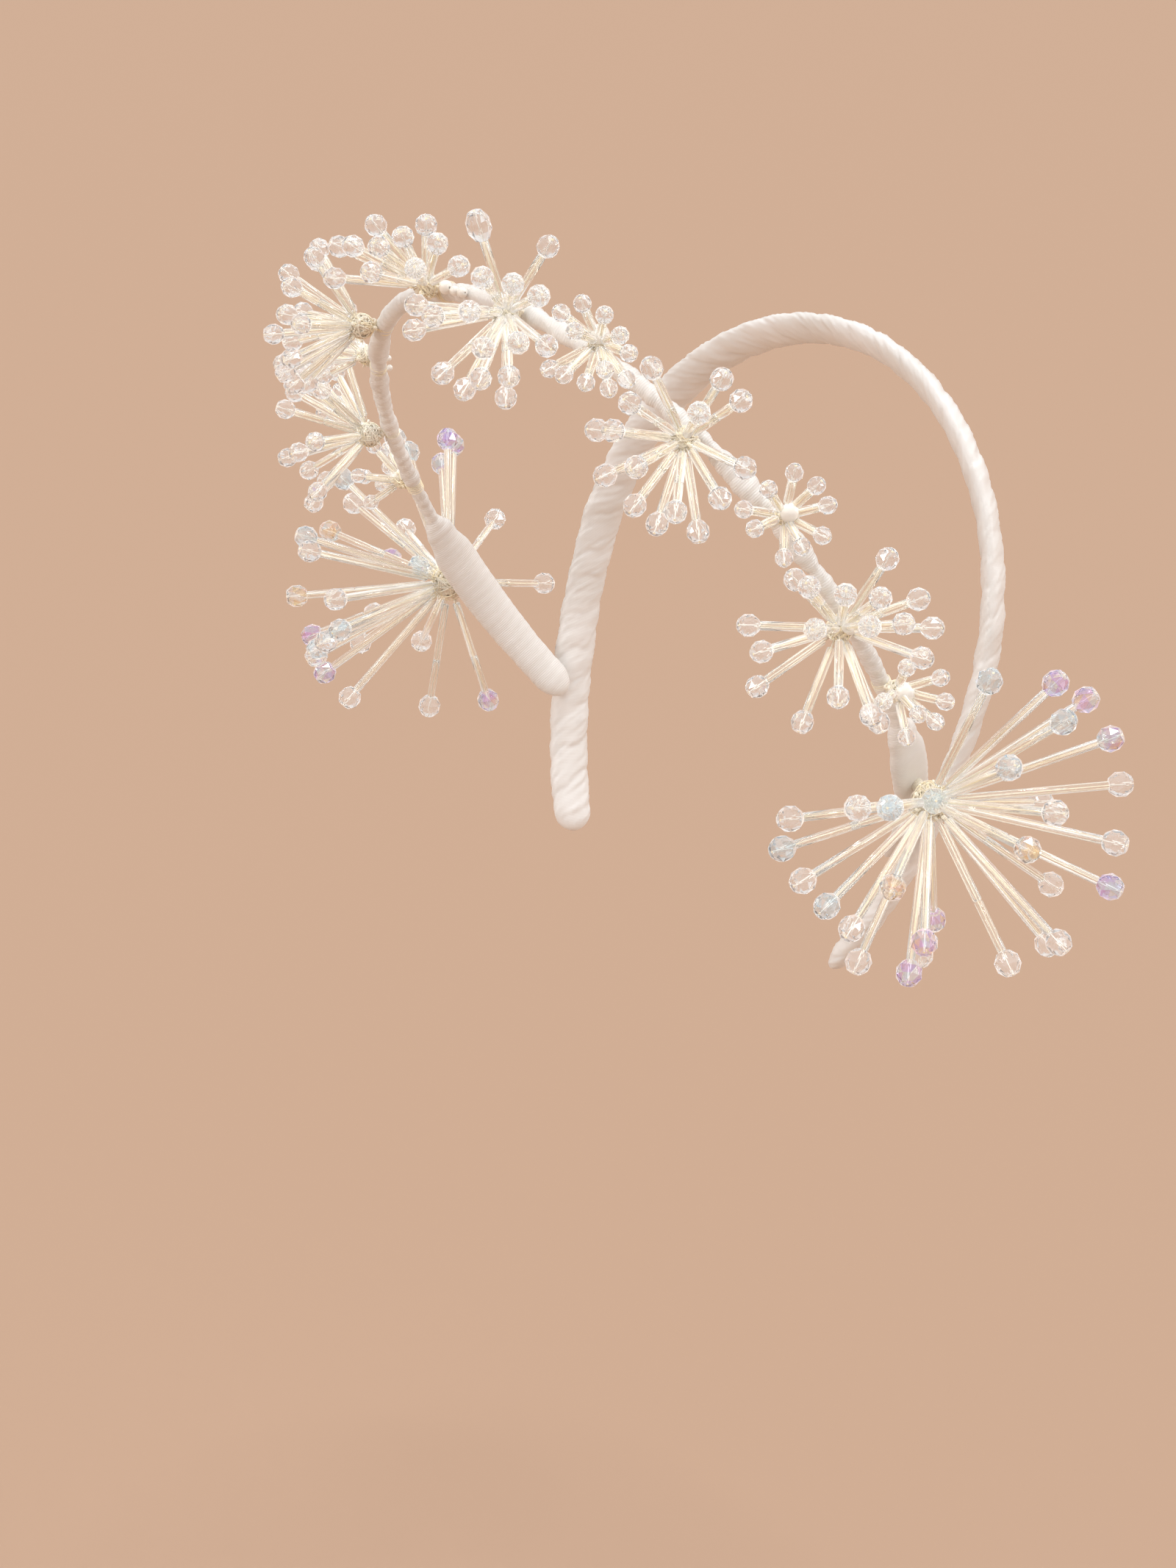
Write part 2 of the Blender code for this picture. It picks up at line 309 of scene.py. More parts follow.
@dataclass(frozen=True)
class Yarn(Finish):
    """Cream thread, whiter where a face attribute of the piece says so: for the strands' own tones, and for
    white strands and bores painted in as highlights.
    """

    # The white that the attribute mixes in, for lighter strands and for painted highlights.
    white: Colour = (1.0, 0.99, 0.97)

    def values(self) -> Inputs:
        """The sheen of fine fibres."""
        return {"Sheen Weight": 0.3}

    def colour(self, nodes: Nodes, groups: Groups) -> NodeSocket:
        """Mottle the two tones and whiten them by the attribute.

        Args:
            nodes: The material's nodes.
            groups: The shared groups.

        Returns:
            The socket that gives the base colour.
        """
        whiteness_and_painted_highlight = nodes.add("ShaderNodeAttribute", attribute_name="whiteness_and_painted_highlight")
        whiten = nodes.add("ShaderNodeMix", data_type="RGBA")
        set_inputs(whiten, {MIX_B: (*self.white, 1.0)})
        nodes.link(whiteness_and_painted_highlight.outputs["Fac"], whiten.inputs["Factor"])
        nodes.link(super().colour(nodes, groups), whiten.inputs[MIX_A])
        return whiten.outputs[MIX_RESULT]


@dataclass(frozen=True)
class Glass(Finish):
    """Glass with bright rims and a gloss, a little milky, and with a part of mirror where it is coated. The
    rims are bright from a real sheen and from a painted glow, an emission that stands in for light caught at
    the edges.
    """

    ior: float = 1.5
    clearness: float = 0.9
    mirror: float = 0.0
    rim: float = 1.0
    # The rims' painted glow: emission strength of a painted highlight, rising between two values of the
    # facing weight.
    painted_rim_glow: float = 0.55
    painted_rim_glow_from: float = 0.55
    painted_rim_glow_to: float = 0.95

    def values(self) -> Inputs:
        """Values of clear glass whose rims catch the light.

        Returns:
            The values by socket.
        """
        clear = {"Transmission Weight": self.clearness, "IOR": self.ior, "Metallic": self.mirror}
        return {**clear, "Sheen Weight": self.rim, "Sheen Roughness": 0.25, "Coat Weight": 0.6}

    def make(self, groups: Groups) -> Material:
        """Make the material, and paint a faint glow on its rims where it has one: a painted highlight, lit by
        emission and not by any lamp.

        Args:
            groups: The shared groups.

        Returns:
            The material.
        """
        material = super().make(groups)
        if not self.painted_rim_glow:
            return material
        nodes = Nodes(material.node_tree)
        shader = material.node_tree.nodes["Principled BSDF"]
        # Painted highlight: the rims glow by emission, masked by how far each face turns from the view.
        turned = nodes.add("ShaderNodeLayerWeight", {"Blend": 0.5})
        edge = nodes.add("ShaderNodeMapRange", {"From Min": self.painted_rim_glow_from, "From Max": self.painted_rim_glow_to})
        set_inputs(shader, {"Emission Strength": self.painted_rim_glow})
        nodes.link(turned.outputs["Facing"], edge.inputs["Value"])
        nodes.link(edge.outputs["Result"], shader.inputs["Emission Color"])
        return material


@dataclass(frozen=True)
class RainbowGlass(Glass):
    """Coated crystal whose facets lean to violet, blue and peach, read from its facet_tint attribute."""

    stops: tuple[tuple[float, Colour], ...] = (
        (0.05, (1.0, 1.0, 1.0)),
        (0.2, (0.95, 0.98, 1.0)),
        (0.38, (0.6, 0.84, 1.0)),
        (0.5, (0.97, 0.98, 1.0)),
        (0.62, (0.7, 0.62, 1.0)),
        (0.76, (0.88, 0.58, 1.0)),
        (0.86, (1.0, 0.8, 0.5)),
        (0.93, (0.98, 0.98, 1.0)),
    )

    def colour(self, nodes: Nodes, groups: Groups) -> NodeSocket:
        """Read each facet's tint from a ramp of the coating's colours.

        Args:
            nodes: The material's nodes.
            groups: The shared groups, which this finish leaves alone.

        Returns:
            The socket that gives the base colour.
        """
        tint = nodes.add("ShaderNodeAttribute", attribute_name="facet_tint")
        ramp = nodes.add("ShaderNodeValToRGB")
        elements = ramp.color_ramp.elements
        for place, colour in self.stops:
            elements.new(place).color = (*colour, 1.0)
        elements.remove(elements[0])
        elements.remove(elements[-1])
        nodes.link(tint.outputs["Fac"], ramp.inputs["Fac"])
        return ramp.outputs["Color"]


class Finishes:
    """Every material of the tiara, made once."""

    def __init__(self) -> None:
        """Build the shared groups and the materials."""
        groups = Groups(mottle_group(), thread_group())
        ribbon = Relief(threads=1.2, waviness=1.6, depth=0.03, strength=0.5)
        cord = Relief(threads=0.62, waviness=1.6, depth=0.12, strength=0.5)
        yarn = Relief(threads=900.0, waviness=3.0, depth=0.15, follows=Follows.OBJECT)
        self.ribbon = Satin("satin_ribbon", 0.36, (0.79, 0.755, 0.715), (0.87, 0.845, 0.82),
                            ribbon).make(groups)
        self.cord = Satin("wound_satin_cord", 0.36, (0.77, 0.73, 0.69), (0.86, 0.835, 0.805),
                          cord).make(groups)
        self.tube = Glass("champagne_glass_tube", 0.02, (0.99, 0.96, 0.9), (1.0, 0.985, 0.95), ior=1.4,
                          clearness=0.92, rim=0.6, painted_rim_glow=0.15).make(groups)
        self.crystal = Glass("clear_crystal", 0.0, (0.98, 0.98, 0.99), WHITE).make(groups)
        self.rainbow = RainbowGlass("rainbow_crystal", 0.0, mirror=0.12).make(groups)
        self.seed = Glass("gold_lined_seed", 0.12, (0.98, 0.9, 0.72), (1.0, 0.96, 0.86), ior=1.4,
                          clearness=0.15, rim=0.3, painted_rim_glow=0.0).make(groups)
        self.wire = Metal("gilt_wire", 0.4, (0.98, 0.86, 0.6), (1.0, 0.95, 0.8)).make(groups)
        self.yarn = Yarn("cream_yarn", 0.6, (0.965, 0.85, 0.66), (0.99, 0.945, 0.82), yarn).make(groups)
        self.strand = Yarn("tube_strand", 0.5, (0.82, 0.72, 0.56), (0.9, 0.83, 0.7)).make(groups)
        self.pearl = Nacre("ivory_pearl", 0.28, (0.86, 0.82, 0.76), (0.95, 0.92, 0.87)).make(groups)


def as_mesh(shape: BMesh, name: str) -> Mesh:
    """Turn a bmesh into a mesh, and free the bmesh.

    Args:
        shape: The bmesh.
        name: The mesh's name.

    Returns:
        The mesh.
    """
    mesh = bpy.data.meshes.new(name)
    shape.to_mesh(mesh)
    shape.free()
    return mesh


def add_object(name: str, data: bpy.types.ID) -> Object:
    """Add an object to the scene.

    Args:
        name: The object's name.
        data: Its mesh, light or camera.

    Returns:
        The object.
    """
    item = bpy.data.objects.new(name, data)
    bpy.context.scene.collection.objects.link(item)
    return item


def finish_piece(name: str, node: str, shape: BMesh, material: Material, smooth: bool = True,
                 shadow: bool = True) -> Object:
    """Turn a bmesh into a piece that rides on the tiara's body and stands for a node of the model.

    Args:
        name: The piece's name.
        node: The node that it stands for, alone or with other pieces.
        shape: The bmesh, freed here.
        material: Its finish.
        smooth: Whether its faces are shaded smooth.
        shadow: Whether it casts a shadow.

    Returns:
        The piece.
    """
    for face in shape.faces:
        face.smooth = smooth
    mesh = as_mesh(shape, name)
    mesh.materials.append(material)
    piece = add_object(name, mesh)
    piece.visible_shadow = shadow
    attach(piece, BODY)
    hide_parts(node)
    return piece


def spun(profile: list[tuple[float, float]], sides: int, closed: bool = False) -> BMesh:
    """Spin a profile round +Z.

    Args:
        profile: Radius and height pairs.
        sides: Steps of the full turn.
        closed: Whether the profile is a loop, as for a ring. An open one has its ends filled.

    Returns:
        The closed shape.
    """
    shape = bmesh.new()
    points = [shape.verts.new((radius * MM, 0, height * MM)) for radius, height in profile]
    pairs = list(zip(points, points[1:]))
    if closed:
        pairs.append((points[-1], points[0]))
    edges = [shape.edges.new(pair) for pair in pairs]
    bmesh.ops.spin(shape, geom=points + edges, cent=(0, 0, 0), axis=(0, 0, 1), dvec=(0, 0, 0), angle=math.tau,
                   steps=sides, use_merge=True, use_duplicate=False)
    bmesh.ops.remove_doubles(shape, verts=shape.verts, dist=WELD * MM)
    if not closed:
        rims = [edge for edge in shape.edges if edge.is_boundary]
        bmesh.ops.holes_fill(shape, edges=rims, sides=sides)
    bmesh.ops.recalc_face_normals(shape, faces=shape.faces)
    return shape


def oval(middle: float, across: float, high: float, sides: int) -> list[tuple[float, float]]:
    """Draw an oval section beside the axis of a ring.

    Args:
        middle: The ring's radius to the middle of the section.
        across: Half the section's width.
        high: Half its height.
        sides: Its corners.

    Returns:
        Radius and height pairs.
    """
    turns = [math.tau * k / sides for k in range(sides)]
    return [(middle + across * math.cos(turn), high * math.sin(turn)) for turn in turns]


def add_copy(target: BMesh, template: Mesh, pose: Matrix) -> list[BMFace]:
    """Add a copy of a template to a bmesh.

    Args:
        target: The bmesh that grows.
        template: The mesh to copy.
        pose: Where the copy goes.

    Returns:
        The new faces.
    """
    verts_before = len(target.verts)
    faces_before = len(target.faces)
    target.from_mesh(template)
    target.verts.ensure_lookup_table()
    target.faces.ensure_lookup_table()
    bmesh.ops.transform(target, matrix=pose, verts=target.verts[verts_before:])
    return target.faces[faces_before:]


def aimed(place: Vector, direction: Vector, roll: float = 0.0) -> Matrix:
    """Work out the pose that puts +Z along a direction.

    Args:
        place: Where the origin goes, in metres.
        direction: Where +Z points.
        roll: Turn round +Z first, in radians.

    Returns:
        The matrix.
    """
    turn = direction.to_track_quat("Z", "Y").to_matrix().to_4x4()
    return Matrix.Translation(place) @ turn @ Matrix.Rotation(roll, 4, "Z")


@dataclass(frozen=True)
class Hoop:
    """A plane curve round the head, an ellipse above its widest level and another below it."""

    centre: Vector
    tilt: float
    half_width: float
    rise: float
    drop: float

    def point(self, angle: float) -> Vector:
        """Work out a point of the hoop.

        Args:
            angle: Its angle from the top, positive towards the wearer's left.

        Returns:
            The point in metres, before the head's centre is added.
        """
        turn = math.radians(angle)
        tilt = math.radians(self.tilt)
        up = Vector((0, -math.sin(tilt), math.cos(tilt)))
        height = self.rise if math.cos(turn) > 0 else self.drop
        across = Vector((self.half_width * math.sin(turn), 0, 0))
        return (self.centre + across + up * height * math.cos(turn)) * MM

    def axes(self, angle: float) -> tuple[Vector, Vector, Vector]:
        """Work out the directions out from the head, along the band to the left join, and forwards across it.

        Args:
            angle: Angle from the top.

        Returns:
            The three directions.
        """
        along = (self.point(angle + 1) - self.point(angle - 1)).normalized()
        place = self.point(angle)
        out = Vector(place[i] / HEAD_FORM[i] ** 2 for i in range(3))
        out = (out - along * out.dot(along)).normalized()
        return out, along, along.cross(out)


FRONT = Hoop(Vector((0, 7.1, 3.0)), tilt=27.6, half_width=83.4, rise=87.7, drop=87.7)
BACK = Hoop(Vector((0, 52.7, -14.8)), tilt=-19.0, half_width=68.3, rise=71.0, drop=105.0)


@dataclass
class Band:
    """A wound band along a hoop: a fine oval tube whose turns of ribbon stand proud of its core.

    end_angle is where it ends on each side of its top. wrap_pitch is the ribbon's step along it for a turn,
    and starts is how many ribbons are wound side by side. wrap_height, puff and crease are the heights of a
    ribbon's edge, of the swell between two edges, and of its creases. girth is the ribbon's run for a turn.
    """

    name: str
    hoop: Hoop
    end_angle: float
    rings: int
    sides: int
    wrap_pitch: float
    wrap_height: float
    puff: float
    crease: float
    starts: int = 1
    seed: int = 1
    girth: float = 16.0
    edge_share: float = 0.12
    edge_slope: float = 0.7
    edge_unevenness: float = 0.7
    puff_unevenness: float = 0.8
    turn_contrast: float = 1.7
    seed_contrast: float = 3.1
    waver: float = 0.3
    waver_length: float = 12.0
    crease_twist: float = 4.5
    crease_length: float = 4.0
    creases_round: float = 4.0
    fine_crease: float = 0.5
    fine_crease_step: float = 2.1
    tip_rounding: float = 6.0
    tip_least: float = 0.02
    tip_wrap: float = 1.2
    steps_per_degree: int = 2

    def __post_init__(self) -> None:
        """Measure the distance along the band at each step from its right end."""
        steps = round(self.end_angle * 2 * self.steps_per_degree)
        self.places = [0.0]
        for k in range(steps):
            low = -self.end_angle + k * 2 * self.end_angle / steps
            high = -self.end_angle + (k + 1) * 2 * self.end_angle / steps
            self.places.append(self.places[-1] + (self.hoop.point(high) - self.hoop.point(low)).length / MM)
        self.length = self.places[-1]

    def size_at(self, angle: float) -> tuple[float, float]:
        """Width and thickness of the band's core at an angle."""
        raise NotImplementedError

    def wrap_share(self, angle: float) -> float:
        """How much of the wraps' full height shows at an angle."""
        return 1.0

    def creases(self, along: float, turn: float) -> float:
        """Work out the ribbon's creases, which slant round the band.

        Args:
            along: Distance along the band.
            turn: Place round the section, in radians.

        Returns:
            Their depth, from about -1 to 1.
        """
        spiral = turn + along / self.crease_twist
        across = self.creases_round * math.cos(spiral)
        high = self.creases_round * math.sin(spiral)
        slant = Vector((across, high, along / self.crease_length + self.seed))
        return noise.noise(slant) + self.fine_crease * noise.noise(slant * self.fine_crease_step)

    def wrap(self, along: float, turn_share: float) -> float:
        """Work out how far the wound ribbon stands proud.

        Args:
            along: Distance along the band.
            turn_share: Place round the section, from 0 to 1.

        Returns:
            The height.
        """
        turn = math.tau * turn_share
        around = Vector((math.cos(turn), math.sin(turn), self.seed))
        waver = noise.noise(around + Vector((0, 0, along / self.waver_length)))
        phase = along / self.wrap_pitch + self.starts * turn_share + self.waver * waver
        wobble_place = (math.floor(phase) * self.turn_contrast, self.seed * self.seed_contrast, 0.0)
        wobble = noise.noise(Vector(wobble_place))
        share = phase % 1.0
        edge = min(share / self.edge_share, 1.0) * (1 - share) ** self.edge_slope
        swell = math.sin(math.pi * share)
        proud = self.wrap_height * edge * (1 + self.edge_unevenness * wobble)
        proud += self.puff * swell * (1 + self.puff_unevenness * wobble)
        return proud + self.crease * self.creases(along, turn)

    def angle_at(self, along: float) -> float:
        """Work out the angle from the top at a distance from the right end.

        Args:
            along: The distance.

        Returns:
            The angle.
        """
        steps = len(self.places) - 1
        low = min(max(bisect_right(self.places, along) - 1, 0), steps - 1)
        share = (along - self.places[low]) / (self.places[low + 1] - self.places[low])
        return -self.end_angle + (low + share) * 2 * self.end_angle / steps

    def surface_point(self, along: float, turn_share: float) -> Vector:
        """Work out a point of the band's surface.

        Args:
            along: Distance from the right end.
            turn_share: Place round the section, from 0 to 1.

        Returns:
            The point in metres, before the head's centre is added.
        """
        angle = self.angle_at(along)
        width, thickness = self.size_at(angle)
        to_end = min(along, self.length - along)
        tip = 1.0
        if to_end < self.tip_rounding:
            tip = math.sqrt(max(1 - (1 - to_end / self.tip_rounding) ** 2, self.tip_least))
        out, _, forward = self.hoop.axes(angle)
        proud = self.wrap(along, turn_share) * self.wrap_share(angle) * min(tip * self.tip_wrap, 1.0)
        turn = math.tau * turn_share
        high = out * math.sin(turn) * (thickness / 2 + proud)
        across = forward * math.cos(turn) * (width / 2 + proud)
        return self.hoop.point(angle) + (high + across) * tip * MM

    def build(self, material: Material, centre: Vector) -> Object:
        """Model the band from a unit rod, whose height becomes the way along it.

        Args:
            material: Its finish.
            centre: Centre of the head's form in the frame, in metres.

        Returns:
            The piece.
        """
        shape = bmesh.new()
        bmesh.ops.create_cone(shape, cap_ends=True, segments=self.sides, radius1=1, radius2=1, depth=1)
        long_edges = [edge for edge in shape.edges if abs(edge.verts[0].co.z - edge.verts[1].co.z) > 0.5]
        bmesh.ops.subdivide_edges(shape, edges=long_edges, cuts=self.rings, use_grid_fill=True)
        spots = {}
        for vert in shape.verts:
            turn_share = (math.atan2(vert.co.y, vert.co.x) / math.tau) % 1.0
            spots[vert] = ((vert.co.z + 0.5) * self.length, turn_share)
        self.map_ribbon(shape, spots)
        for vert, (along, turn_share) in spots.items():
            vert.co = self.surface_point(along, turn_share) + centre
        bmesh.ops.recalc_face_normals(shape, faces=shape.faces)
        return finish_piece(self.name + "_wound", self.name, shape, material)

    def map_ribbon(self, shape: BMesh, spots: dict[bmesh.types.BMVert, tuple[float, float]]) -> None:
        """Lay the UV map in millimetres: along the band, and round it.

        Args:
            shape: The band's mesh.
            spots: Distance along the band and place round it of each vertex.
        """
        uv = shape.loops.layers.uv.new("UVMap")
        for face in shape.faces:
            shares = [spots[loop.vert][1] for loop in face.loops]
            for loop, turn_share in zip(face.loops, shares):
                if max(shares) - turn_share > 0.5:
                    turn_share += 1.0
                loop[uv].uv = (spots[loop.vert][0], turn_share * self.girth)


@dataclass
class BackBand(Band):
    """The padded hoop, whose ribbon brings its core to ten millimetres wide."""

    core_width: float = 9.5
    core_thickness: float = 4.8
    swell: float = 0.25
    swell_step: float = 0.09
    swell_row: float = 5.0

    def size_at(self, angle: float) -> tuple[float, float]:
        """Width and thickness of the band's core at an angle."""
        swell = self.swell * noise.noise(Vector((angle * self.swell_step, self.swell_row, 0.0)))
        return self.core_width + swell, self.core_thickness + swell / 2


@dataclass(frozen=True)
class Width:
    """Width of the front band at one angle from its top."""

    angle: float
    width: float


@dataclass
class FrontBand(Band):
    """The wrapped wire with its padded swellings."""

    core: float = 3.4
    swell: float = 0.1
    plain_width: float = 4.5
    pad_smoothing: float = 0.7
    lump: float = 1.3
    lump_flatness: float = 0.6
    lump_step: float = 3.2
    lump_row: float = 8.0
    widths: tuple[Width, ...] = (
        Width(0, 3.8),
        Width(40, 3.6),
        Width(44, 3.4),
        Width(50, 5.4),
        Width(52, 4.8),
        Width(54, 3.0),
        Width(57, 3.4),
        Width(60, 4.6),
        Width(66, 3.3),
        Width(84, 3.3),
        Width(93, 2.8),
        Width(98, 8.0),
        Width(103, 11.0),
        Width(134, 9.0),
    )

    def width_at(self, angle: float) -> float:
        """Ease the width between the rows of the table.

        Args:
            angle: Angle from the top.

        Returns:
            The width.
        """
        angle = abs(angle)
        for low, high in zip(self.widths, self.widths[1:]):
            if angle <= high.angle:
                share = (angle - low.angle) / (high.angle - low.angle)
                eased = 0.5 - 0.5 * math.cos(math.pi * share)
                return low.width + (high.width - low.width) * eased
        return self.widths[-1].width

    def thickness_at(self, angle: float) -> float:
        """Thickness at an angle, a little more where a pad swells."""
        return self.core + self.swell * self.width_at(angle)

    def size_at(self, angle: float) -> tuple[float, float]:
        """Work out the size of the band's core, with its soft lumps.

        Args:
            angle: Angle from the top.

        Returns:
            Width and thickness.
        """
        lump = self.lump * noise.noise(Vector((angle / self.lump_step, self.lump_row, 0.0)))
        lump *= self.wrap_share(angle)
        return self.width_at(angle) + lump, self.thickness_at(angle) + self.lump_flatness * lump

    def wrap_share(self, angle: float) -> float:
        """How much of the wraps' full height shows at an angle, less where the satin lies over a pad."""
        padded = min(max((self.width_at(angle) - self.plain_width) / self.plain_width, 0.0), 1.0)
        return 1.0 - self.pad_smoothing * padded

    def head_centre(self) -> Vector:
        """Centre of the head's form in metres, which puts the underside of the band's top at the origin."""
        out = self.hoop.axes(0)[0]
        return out * self.thickness_at(0) / 2 * MM - self.hoop.point(0)

    def seat(self, angle: float, forward: float, radius: float) -> Vector:
        """Rest a ball on the band, or beside it where the ball sits past the band's edge.

        Args:
            angle: Angle from the top.
            forward: How far in front of the band's middle the ball sits.
            radius: The ball's radius.

        Returns:
            The ball's centre in metres, before the head's centre is added.
        """
        out, _, ahead = self.hoop.axes(angle)
        thickness = self.thickness_at(angle)
        flat_half = max(self.width_at(angle) - thickness, 0) / 2
        beyond = max(abs(forward) - flat_half, 0)
        reach = thickness / 2 + CLEARANCE + radius
        rise = math.sqrt(max(reach ** 2 - beyond ** 2, 0))
        return self.hoop.point(angle) + (out * rise + ahead * forward) * MM


FAINT = -0.5
FAINT_TONE = 0.28


class Coat(Enum):
    """Coating of a crystal, as the places on the rainbow ramp between which its patches run."""

    CLEAR = (0.0, 0.0)
    BLUE = (0.22, 0.3)
    VIOLET = (0.58, 0.84)
    PEACH = (0.82, 0.92)

    def tone(self, patch: float) -> float:
        """Choose a facet's place on the ramp.

        Args:
            patch: The facet's value in a field of patches, from -1 to 1. A facet above 0 is stained, and one
                below FAINT is a faint blue.

        Returns:
            The place, 0 where the glass stays clear.
        """
        low, high = self.value
        if patch > 0:
            return low + (high - low) * min(patch, 1.0)
        return FAINT_TONE if patch < FAINT else 0.0


CLEAR, BLUE, VIOLET, PEACH = Coat


@dataclass(frozen=True)
class Tier:
    """Rods of one burst that share a lean from straight out and a length to the crystal's centre.

    Clocks are round the burst, 0 towards the side join and 90 towards the face, with a coat for each. A tier
    with no coats is clear, and one with no crystal radius has the burst's.
    """

    lean: float
    length: float
    clocks: tuple[float, ...]
    coats: tuple[Coat, ...] = ()
    crystal: float = 0.0
    stretch: float = 1.0


@dataclass(frozen=True)
class BurstForm:
    """A burst's sizes, its tiers of rods, and how its tubes, strands, threads and seed beads are made up."""

    forward: float
    hub_radius: float
    crystal_radius: float
    tiers: tuple[Tier, ...] = ()
    pearl_radius: float = 0.0
    joined_share: float = 0.4
    strand_radius: float = 0.1
    # A share of the rods hold a thick white strand, a painted streak of light along the tube.
    painted_streak_share: float = 0.35
    wire_turns: int = 7
    thread_turns: int = 16
    lashing_turns: int = 5
    seeds: int = 12


LARGE = BurstForm(
    forward=3.0,
    hub_radius=5.0,
    crystal_radius=3.0,
    joined_share=0.3,
    strand_radius=0.07,
    wire_turns=9,
    thread_turns=22,
    lashing_turns=0,
    seeds=16,
    tiers=(
        Tier(6, 45, (280,), (VIOLET,)),
        Tier(17, 43, (50, 250)),
        Tier(32, 41, (14, 64)),
        Tier(34, 40, (158, 184), (PEACH, CLEAR)),
        Tier(47, 43, (240, 282), (VIOLET, CLEAR)),
        Tier(55, 40, (100, 180, 216, 338), (VIOLET, BLUE, BLUE, CLEAR)),
        Tier(60, 42, (84, 236), (VIOLET, VIOLET)),
        Tier(63, 9, (158,), (BLUE,)),
        Tier(68, 40, (122, 228), (PEACH, VIOLET)),
        Tier(72, 36, (38, 312)),
        Tier(78, 40, (77, 99, 146, 200), (CLEAR, CLEAR, BLUE, BLUE)),
        Tier(82, 36, (14,), (VIOLET,)),
        Tier(87, 40, (104, 141), (BLUE, CLEAR)),
        Tier(97, 40, (108,)),
        Tier(108, 40, (113, 125), (BLUE, CLEAR)),
    ),
)
MIDDLE = BurstForm(forward=4.7, hub_radius=3.4, crystal_radius=2.5)
MIDDLE_3 = replace(
    MIDDLE,
    pearl_radius=1.4,
    tiers=(
        Tier(6, 22, (170,)),
        Tier(19, 22, (2, 246, 306)),
        Tier(25, 22, (136, 176)),
        Tier(42, 22, (160, 214)),
        Tier(54, 22, (48, 80, 131)),
        Tier(62, 22, (34, 157)),
        Tier(76, 20, (162,)),
        Tier(89, 22, (68, 118)),
        Tier(100, 22, (132,)),
        Tier(106, 22, (95,)),
    ),
)
MIDDLE_2 = replace(
    MIDDLE,
    tiers=(
        Tier(9, 21, (262,)),
        Tier(17, 21, (76, 330)),
        Tier(38, 21, (164,)),
        Tier(48, 21, (15, 132)),
        Tier(63, 21, (34, 92, 120)),
        Tier(76, 21, (58, 128)),
        Tier(86, 21, (80, 104)),
        Tier(92, 21, (40, 64)),
    ),
)
MIDDLE_1 = replace(
    MIDDLE,
    tiers=(
        Tier(14, 20, (195,), crystal=2.8, stretch=1.3),
        Tier(37, 22, (50, 336)),
        Tier(44, 22, (26,)),
        Tier(55, 22, (12, 60)),
        Tier(61, 22, (87, 106)),
        Tier(75, 22, (33, 53, 104)),
        Tier(82, 22, (18,)),
        Tier(94, 22, (42, 58, 82)),
        Tier(103, 22, (70,)),
        Tier(110, 22, (47,)),
    ),
)
MIDDLE_0 = replace(
    MIDDLE,
    forward=4.1,
    tiers=(
        Tier(30, 22, (130,)),
        Tier(40, 22, (80, 104)),
        Tier(45, 22, (132, 153, 174)),
        Tier(58, 22, (85, 123, 172)),
        Tier(65, 22, (152,)),
        Tier(75, 22, (176,)),
    ),
)
SPRAY = BurstForm(
    forward=0.5,
    hub_radius=2.4,
    crystal_radius=2.0,
    pearl_radius=2.2,
    joined_share=0.0,
    wire_turns=6,
)
SPRAY_1 = replace(
    SPRAY,
    tiers=(
        Tier(18, 12.5, (36, 127)),
        Tier(41, 12.5, (18, 88, 130)),
        Tier(60, 12.5, (14,)),
        Tier(71, 12.5, (42,)),
        Tier(87, 12.5, (20, 60, 83)),
        Tier(94, 12.5, (38, 103)),
    ),
)
SPRAY_2 = replace(
    SPRAY,
    tiers=(
        Tier(21, 11.5, (247, 315)),
        Tier(38, 11.5, (14, 203)),
        Tier(48, 11.5, (48, 154)),
        Tier(68, 11.5, (60, 108)),
        Tier(76, 11.5, (132,)),
    ),
)
SPRAY_3 = replace(
    SPRAY,
    tiers=(
        Tier(17, 11.5, (316,)),
        Tier(26, 11.5, (20, 97, 237)),
        Tier(52, 11.5, (60, 178)),
        Tier(62, 11.5, (126,)),
    ),
)


@dataclass(frozen=True)
class Place:
    """Where a burst sits: its node's name, its form, its angle from the band's top and its side."""

    name: str
    form: BurstForm
    angle: float
    side: Side


def pair(name: str, form: BurstForm, angle: float, right_angle: float | None = None) -> list[Place]:
    """Place a burst on each side of the head.

    Args:
        name: The nodes' name without its side.
        form: Their form.
        angle: The left one's angle from the band's top.
        right_angle: The right one's, where it differs.

    Returns:
        The left place and the right one.
    """
    return [
        Place(name + "_left", form, angle, Side.LEFT),
        Place(name + "_right", form, right_angle or angle, Side.RIGHT),
    ]


PLACES = (
    Place("burst_centre", MIDDLE_1, 6.3, Side.LEFT),
    Place("burst_inner_right", MIDDLE_0, 13.3, Side.RIGHT),
    Place("spray_inner_left", SPRAY_1, 21.8, Side.LEFT),
    *pair("burst_upper", MIDDLE_2, 40.0, right_angle=42.0),
    *pair("spray_upper", SPRAY_2, 56.5),
    *pair("burst_side", MIDDLE_3, 73.5),
    *pair("spray_side", SPRAY_3, 86.8),
    *pair("burst_large", LARGE, 107.5),
)


